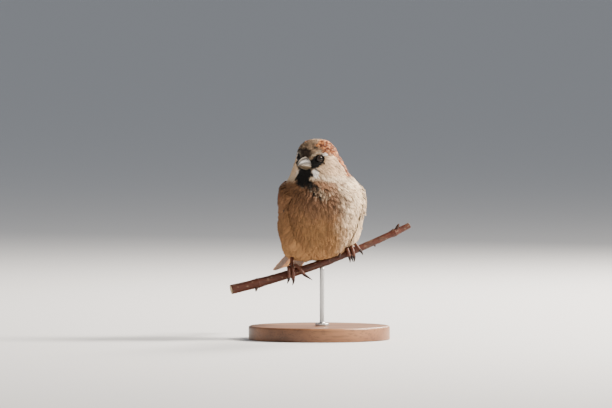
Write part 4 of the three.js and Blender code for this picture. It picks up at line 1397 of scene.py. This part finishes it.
def twig_at(x):
    x = np.asarray(x, float)
    return BIRD + np.stack((x, np.zeros_like(x), TWIG["slope"] * x + TWIG["curl"] * x**2), axis=-1)


def twig_up(x):
    x = np.asarray(x, float)
    return unit(np.stack((-TWIG["slope"] - 2 * TWIG["curl"] * x, np.zeros_like(x), np.ones_like(x)), axis=-1))


def twig_radius(x):
    return np.interp(x, TWIG["reach"], TWIG["radius"]) + bumps(x, *NODES_OF_GROWTH)


def around_twig(x, degrees, radius):
    """Points at an angle and radius round the twig, 0 degrees above it and 90 in front."""
    angle = np.radians(degrees)[..., None]
    radius = np.asarray(radius)[..., None]
    return twig_at(x) + twig_up(x) * np.cos(angle) * radius + FORWARD * np.sin(angle) * radius


def add_limb(name, centres, radii, up_hint, sides, relief, tint, look, slot, node):
    """A tube along centres, its radius multiplied by relief and coloured by tint, both of share and angle."""
    share, angle = np.meshgrid(np.linspace(0, 1, len(centres)), circle(sides), indexing="ij")
    rings = rings_along(centres, up_hint, radii[:, None] * relief(share, angle), angle)
    add_tubes(name, [(rings, tint(share, angle))], look, slot, node)


def add_scaly(name, kind, centres, radii, up_hint, sides):
    """A piece of leg with overlapping plates along the upper side, and soft creases beneath."""
    count = SCUTES[kind]

    def relief(share, angle):
        upper = smooth(-0.2, 0.5, np.sin(angle))
        lip = (share * count % 1.0) ** 3 - 0.25
        return 1 + SCUTE_DEPTH * (lip * upper + 0.5 * np.sin(share * count * 4 * math.pi) * (1 - upper))

    def tint(share, angle):
        line = smooth(0.86, 1.0, share * count % 1.0) * smooth(-0.2, 0.5, np.sin(angle))
        return layered(LEG_PINK, (LEG_DARK, 0.45 * smooth(0.2, 1, np.sin(angle))), (LEG_DARK * 0.55, line))

    add_limb(f"{name}_skin", centres, radii, up_hint, sides, relief, tint, LEG, "legs", name)


def add_claw(name, toe_end, along, hook, sideways, length):
    """A claw from just beyond the toe's end, hooked round the twig."""
    root = toe_end + along * (GAP + 0.25)
    bend = root + along * length * 0.5 + sideways * 0.4
    tip = root + along * length * 0.86 + hook * length * 0.3 + sideways * 0.9 + (0, 0, -0.1 * length)
    share = np.linspace(-0.16, 1, 40)
    radii = CLAW_RADIUS * (1 - np.clip(share, 0, 1) ** 1.5) + CLAW_TIP + 0.12 * bump_at(share, 0.1, 0.2)
    add_limb(
        f"{name}_horn", through((root, bend, tip), share), radii, -hook, 16,
        lambda share, angle: 1 - 0.12 * np.maximum(0, -np.sin(angle)),
        lambda share, angle: mix(CLAW_DARK * 1.8, CLAW_DARK, smooth(0, 0.5, share)),
        CLAW, "claws", name,
    )


def add_foot(name, side, x, ankle, toes):
    start = around_twig(x, 0.0, twig_radius(x) + 2.3)
    top = BIRD + ankle
    middle = (start + top) / 2 + (0, -1.2, 0)
    share = np.linspace(0, 1, 90)
    radii = TARSUS_RADIUS * (1.15 + bumps(share, *TARSUS_JOINTS))
    add_scaly(f"tarsus_{name}", "tarsus", through((start, middle, top), share), radii, FORWARD, 24)
    for toe, (from_angle, to_angle, spread, reach, drop, claw, lean) in toes.items():
        share = np.linspace(0, 1, 80)
        at = x + side * between(spread, reach, share)
        off = twig_radius(at) + GAP + TOE_RADIUS * 1.12 + 0.5 * (1 - share) ** 2 + drop * share**3
        centres = around_twig(at, between(from_angle, to_angle, share), off)
        radii = TOE_RADIUS * (0.92 - 0.14 * share + bumps(share, *TOE_PADS))
        add_scaly(f"toe_{name}_{toe}", "toe", centres, radii, centres - twig_at(at), 20)
        hook = FORWARD if toe == "hind" else -FORWARD
        along = unit(centres[-1] - centres[-8])
        add_claw(f"claw_{name}_{toe}", centres[-1], along, hook, LEFTWARD * side * lean, claw)


for foot, (side, *shape) in FEET.items():
    add_foot(foot, side, *shape)


# ---- the twig ----
BARK_RED = srgb(74, 31, 14)
BARK_GREY = srgb(92, 62, 44)
PITH = srgb(206, 184, 148)
BUD_BROWN = srgb(52, 26, 18)
FLECKS = 110
# Each bud's place along the twig, its angle round it, its length, its radius and how far it leans.
BUDS = (
    (50, 20, 2.6, 1.3, 1.6), (10.4, 64, 3.4, 1.5, 0.6), (-44, 150, 2.2, 1.2, -1.2), (35, 200, 1.5, 1.0, 1.4),
)


def pale_flecks(x, angle):
    """The share of the bark, over rows x and angles, that is a pale fleck."""
    spots = np.random.default_rng(43)
    pale = np.zeros(np.broadcast_shapes(x.shape, angle.shape))
    for _ in range(FLECKS):
        at, turn = spots.uniform(*TWIG["reach"]), spots.uniform(0, 2 * math.pi)
        apart = np.angle(np.exp(1j * (angle - turn))) * 2.5
        pale = np.maximum(pale, bump_at(x, at, spots.uniform(0.3, 0.7)) * bump_at(apart, 0, 0.28))
    return pale


def add_twig():
    x = np.linspace(*TWIG["reach"], 420)
    angle = circle(40)[None, :, None]
    out = FORWARD * np.sin(angle) + twig_up(x)[:, None] * np.cos(angle)
    base = twig_at(x)[:, None] + out * twig_radius(x)[:, None, None]
    stretched = base * (0.3, 1, 1)
    ridges = sum(bumps(x, (0.16, at, 0.35), (-0.1, at + 0.7, 0.3)) for _, at, _ in NODES_OF_GROWTH)
    pale = pale_flecks(x[:, None], angle[..., 0])
    relief = 0.07 * waves(stretched, 0.7, 41) + 0.05 * waves(stretched, 0.3, 42)
    relief = relief + ridges[:, None] + 0.12 * pale
    bloom = smooth(0.1, 1.2, waves(base * (0.4, 1, 1), 2.5, 44))
    tone = layered(BARK_RED, (BARK_GREY, bloom), (PITH * 0.45, 0.6 * pale))
    add_tubes("twig_bark", [(base + out * relief[..., None], tone)], BARK, "bark", "perch", end=PITH)


def bud(x, turn, length, radius, lean):
    """A pointed bud with overlapping scales, as rings and their colours."""
    out = np.array((0, -math.sin(math.radians(turn)), math.cos(math.radians(turn))))
    root = twig_at(x) + out * 0.4 * twig_radius(x)
    tip = twig_at(x) + out * (twig_radius(x) + length) + (lean, 0, lean * TWIG["slope"])
    waist = root + (tip - root) * 0.55 + out * 0.2 * length
    share, angle = np.meshgrid(np.linspace(0, 1, 50), circle(24), indexing="ij")
    scale_edge = ((share * 4 + 0.35 * np.cos(angle * 2 + share * 9)) % 1.0) ** 4
    thick = radius * (1 - 0.86 * share**1.6) * (1 + 0.12 * scale_edge)
    rings = rings_along(through((root, waist, tip), share[:, 0]), np.array((1.0, 0.0, 0.3)), thick, angle)
    return rings, mix(BUD_BROWN, BARK_GREY, 0.6 * scale_edge)


def cut_end(x, way):
    """A sawn end: a shallow disc of pale wood with rings about the pith, inside a rim of bark."""
    outward = np.array((1.0, 0, TWIG["slope"] + 2 * TWIG["curl"] * x)) * way
    radius = np.linspace(0.01, twig_radius(x) - 0.3, 30)[::-1]
    height = 0.10 + 0.03 * np.sin(radius * 11)
    height[0] = -0.5
    tone = mix(PITH * (0.85 + 0.15 * np.sin(radius * 11))[:, None], BARK_RED, bump_at(radius, 0, 0.35))
    return turned_profile(twig_at(x), outward, radius, height, 36), tone[:, None]


add_twig()
add_tubes("twig_buds", [bud(*shape) for shape in BUDS], BARK, "bark")
add_tubes("twig_cut_ends", [cut_end(x, way) for x, way in zip(TWIG["reach"], (-1, 1))], CUT_WOOD, "bark")


# ---- the stand ----
BASE_EDGE = 1.3  # the radius of the base's rounded rim
ROD_RADIUS, COLLAR_RADIUS = 1.5, 4.3


def add_turned(name, y, profile, sides, look, slot, node):
    """A solid of revolution about an upright axis at y, from a profile of (radius, height)."""
    radii, heights = np.array(profile, float).T
    rings = turned_profile(np.array((0.0, y, 0.0)), (0, 0, 1), radii, heights, sides)
    dress(welded(new_mesh(name, *closed_tube(rings))), look, slot, node)


def arc(centre_radius, centre_height, radius, start, end, steps):
    """Points of a round edge, angles in degrees from level."""
    angles = np.radians(np.linspace(start, end, steps))
    return list(zip(centre_radius + radius * np.cos(angles), centre_height + radius * np.sin(angles)))


def add_base():
    _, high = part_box("stand_base")
    radius, thickness = high[0] / TO_METRES, high[2] / TO_METRES
    profile = [(0.01, 0), (radius - 3, 0), (radius - 1.2, 0)]
    profile += arc(radius - 0.6, 0.6, 0.6, -90, 0, 6)
    profile += arc(radius - BASE_EDGE, thickness - BASE_EDGE, BASE_EDGE, 0, 90, 10)
    profile += [(radius - 4, thickness), (radius - 12, thickness), (0.01, thickness)]
    add_turned("stand_base_wood", 0.0, profile, 160, STAND_WOOD, "stand_wood", "stand_base")


def add_rod():
    """The rod up to the twig, with its collar on the base."""
    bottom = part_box("stand_rod")[0][2] / TO_METRES
    top = BIRD[2] - twig_radius(0.0) * 0.7
    profile = [(0.01, bottom), (COLLAR_RADIUS, bottom)] + arc(COLLAR_RADIUS, bottom + 0.2, 0.2, -60, 0, 4)
    profile += arc(4.0, bottom + 1.1, 0.5, 0, 90, 6) + arc(2.5, bottom + 2.6, 0.9, -100, -170, 6)
    profile += [(ROD_RADIUS, height) for height in (bottom + 3.4, bottom + 12, top - 3, top)] + [(0.01, top)]
    add_turned("stand_rod_steel", BIRD[1], profile, 48, STEEL, "stand_metal", "stand_rod")


add_base()
add_rod()


# ---- camera, light and floor ----
AIM_ACROSS, AIM_UP = -10.4, 38.35  # from the grip to the middle of the picture
VIEW_TURN, VIEW_RISE = math.radians(-15), math.radians(2)
VIEW_DISTANCE = 6630.0
FLOOR_HALF = 60000.0
SUN_COLOUR, FILL_COLOUR, SKY_COLOUR = (1.0, 0.9, 0.78), (1.0, 0.86, 0.7), (0.9, 0.94, 1.0)
FLOOR_GREY = (0.62, 0.63, 0.65)
view_right = np.array((math.cos(VIEW_TURN), math.sin(VIEW_TURN), 0))
view_level = np.array((math.sin(VIEW_TURN), -math.cos(VIEW_TURN), 0))
view_back = view_level * math.cos(VIEW_RISE) + (0, 0, math.sin(VIEW_RISE))
view_up = np.cross(view_back, view_right)


def aimed(name, data, place, target):
    """A camera or a light at a place, looking at a target."""
    thing = bpy.data.objects.new(name, data)
    bpy.context.scene.collection.objects.link(thing)
    thing.location = Vector(place * TO_METRES)
    thing.rotation_mode = "QUATERNION"
    thing.rotation_quaternion = Vector(target - place).to_track_quat("-Z", "Y")
    return thing


def add_camera():
    data = bpy.data.cameras.new("camera")
    data.sensor_width, data.lens = 36, 600
    data.clip_start, data.clip_end = 0.1, 200
    aim = BIRD + view_right * AIM_ACROSS + view_up * AIM_UP
    bpy.context.scene.camera = aimed("camera", data, aim + view_back * VIEW_DISTANCE, aim)


def add_light(name, place, size_m, watts, colour):
    """A soft square light. place is metres right, up and back from the bird, in the camera's directions."""
    data = bpy.data.lights.new(name, "AREA")
    data.size, data.energy, data.color = size_m, watts, colour
    target = BIRD + (0, 0, 40)
    aimed(name, data, target + np.array(place) @ (view_right, view_up, view_back) / TO_METRES, target)


def add_floor():
    square = np.array(((-1, -1, 0), (1, -1, 0), (1, 1, 0), (-1, 1, 0)))
    floor = new_mesh("floor", square * FLOOR_HALF, np.array(((0, 1, 2, 3),)))
    matte = {"Base_Color": (*FLOOR_GREY, 1), "Roughness": 0.9, "Specular_IOR_Level": 0.1}
    paper = Look("floor_paper", stored=False, **matte)
    floor.data.materials.append(paper.material)
    floor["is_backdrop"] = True


def add_world():
    world = bpy.data.worlds.new("studio")
    world.use_nodes = True
    background = world.node_tree.nodes["Background"]
    background.inputs["Color"].default_value = (*SKY_COLOUR, 1)
    background.inputs["Strength"].default_value = 0.37
    bpy.context.scene.world = world


add_camera()
add_floor()
add_world()
add_light("key", (1.1, 0.75, 0.1), 0.4, 80, SUN_COLOUR)
add_light("front", (-0.2, 0.6, 1.5), 2.0, 11, FILL_COLOUR)
add_light("rim", (0.5, 0.7, -0.9), 0.4, 36, SUN_COLOUR)

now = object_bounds()
str([[list(map(float, corner)) for corner in box] for box in (cad_box, now)])
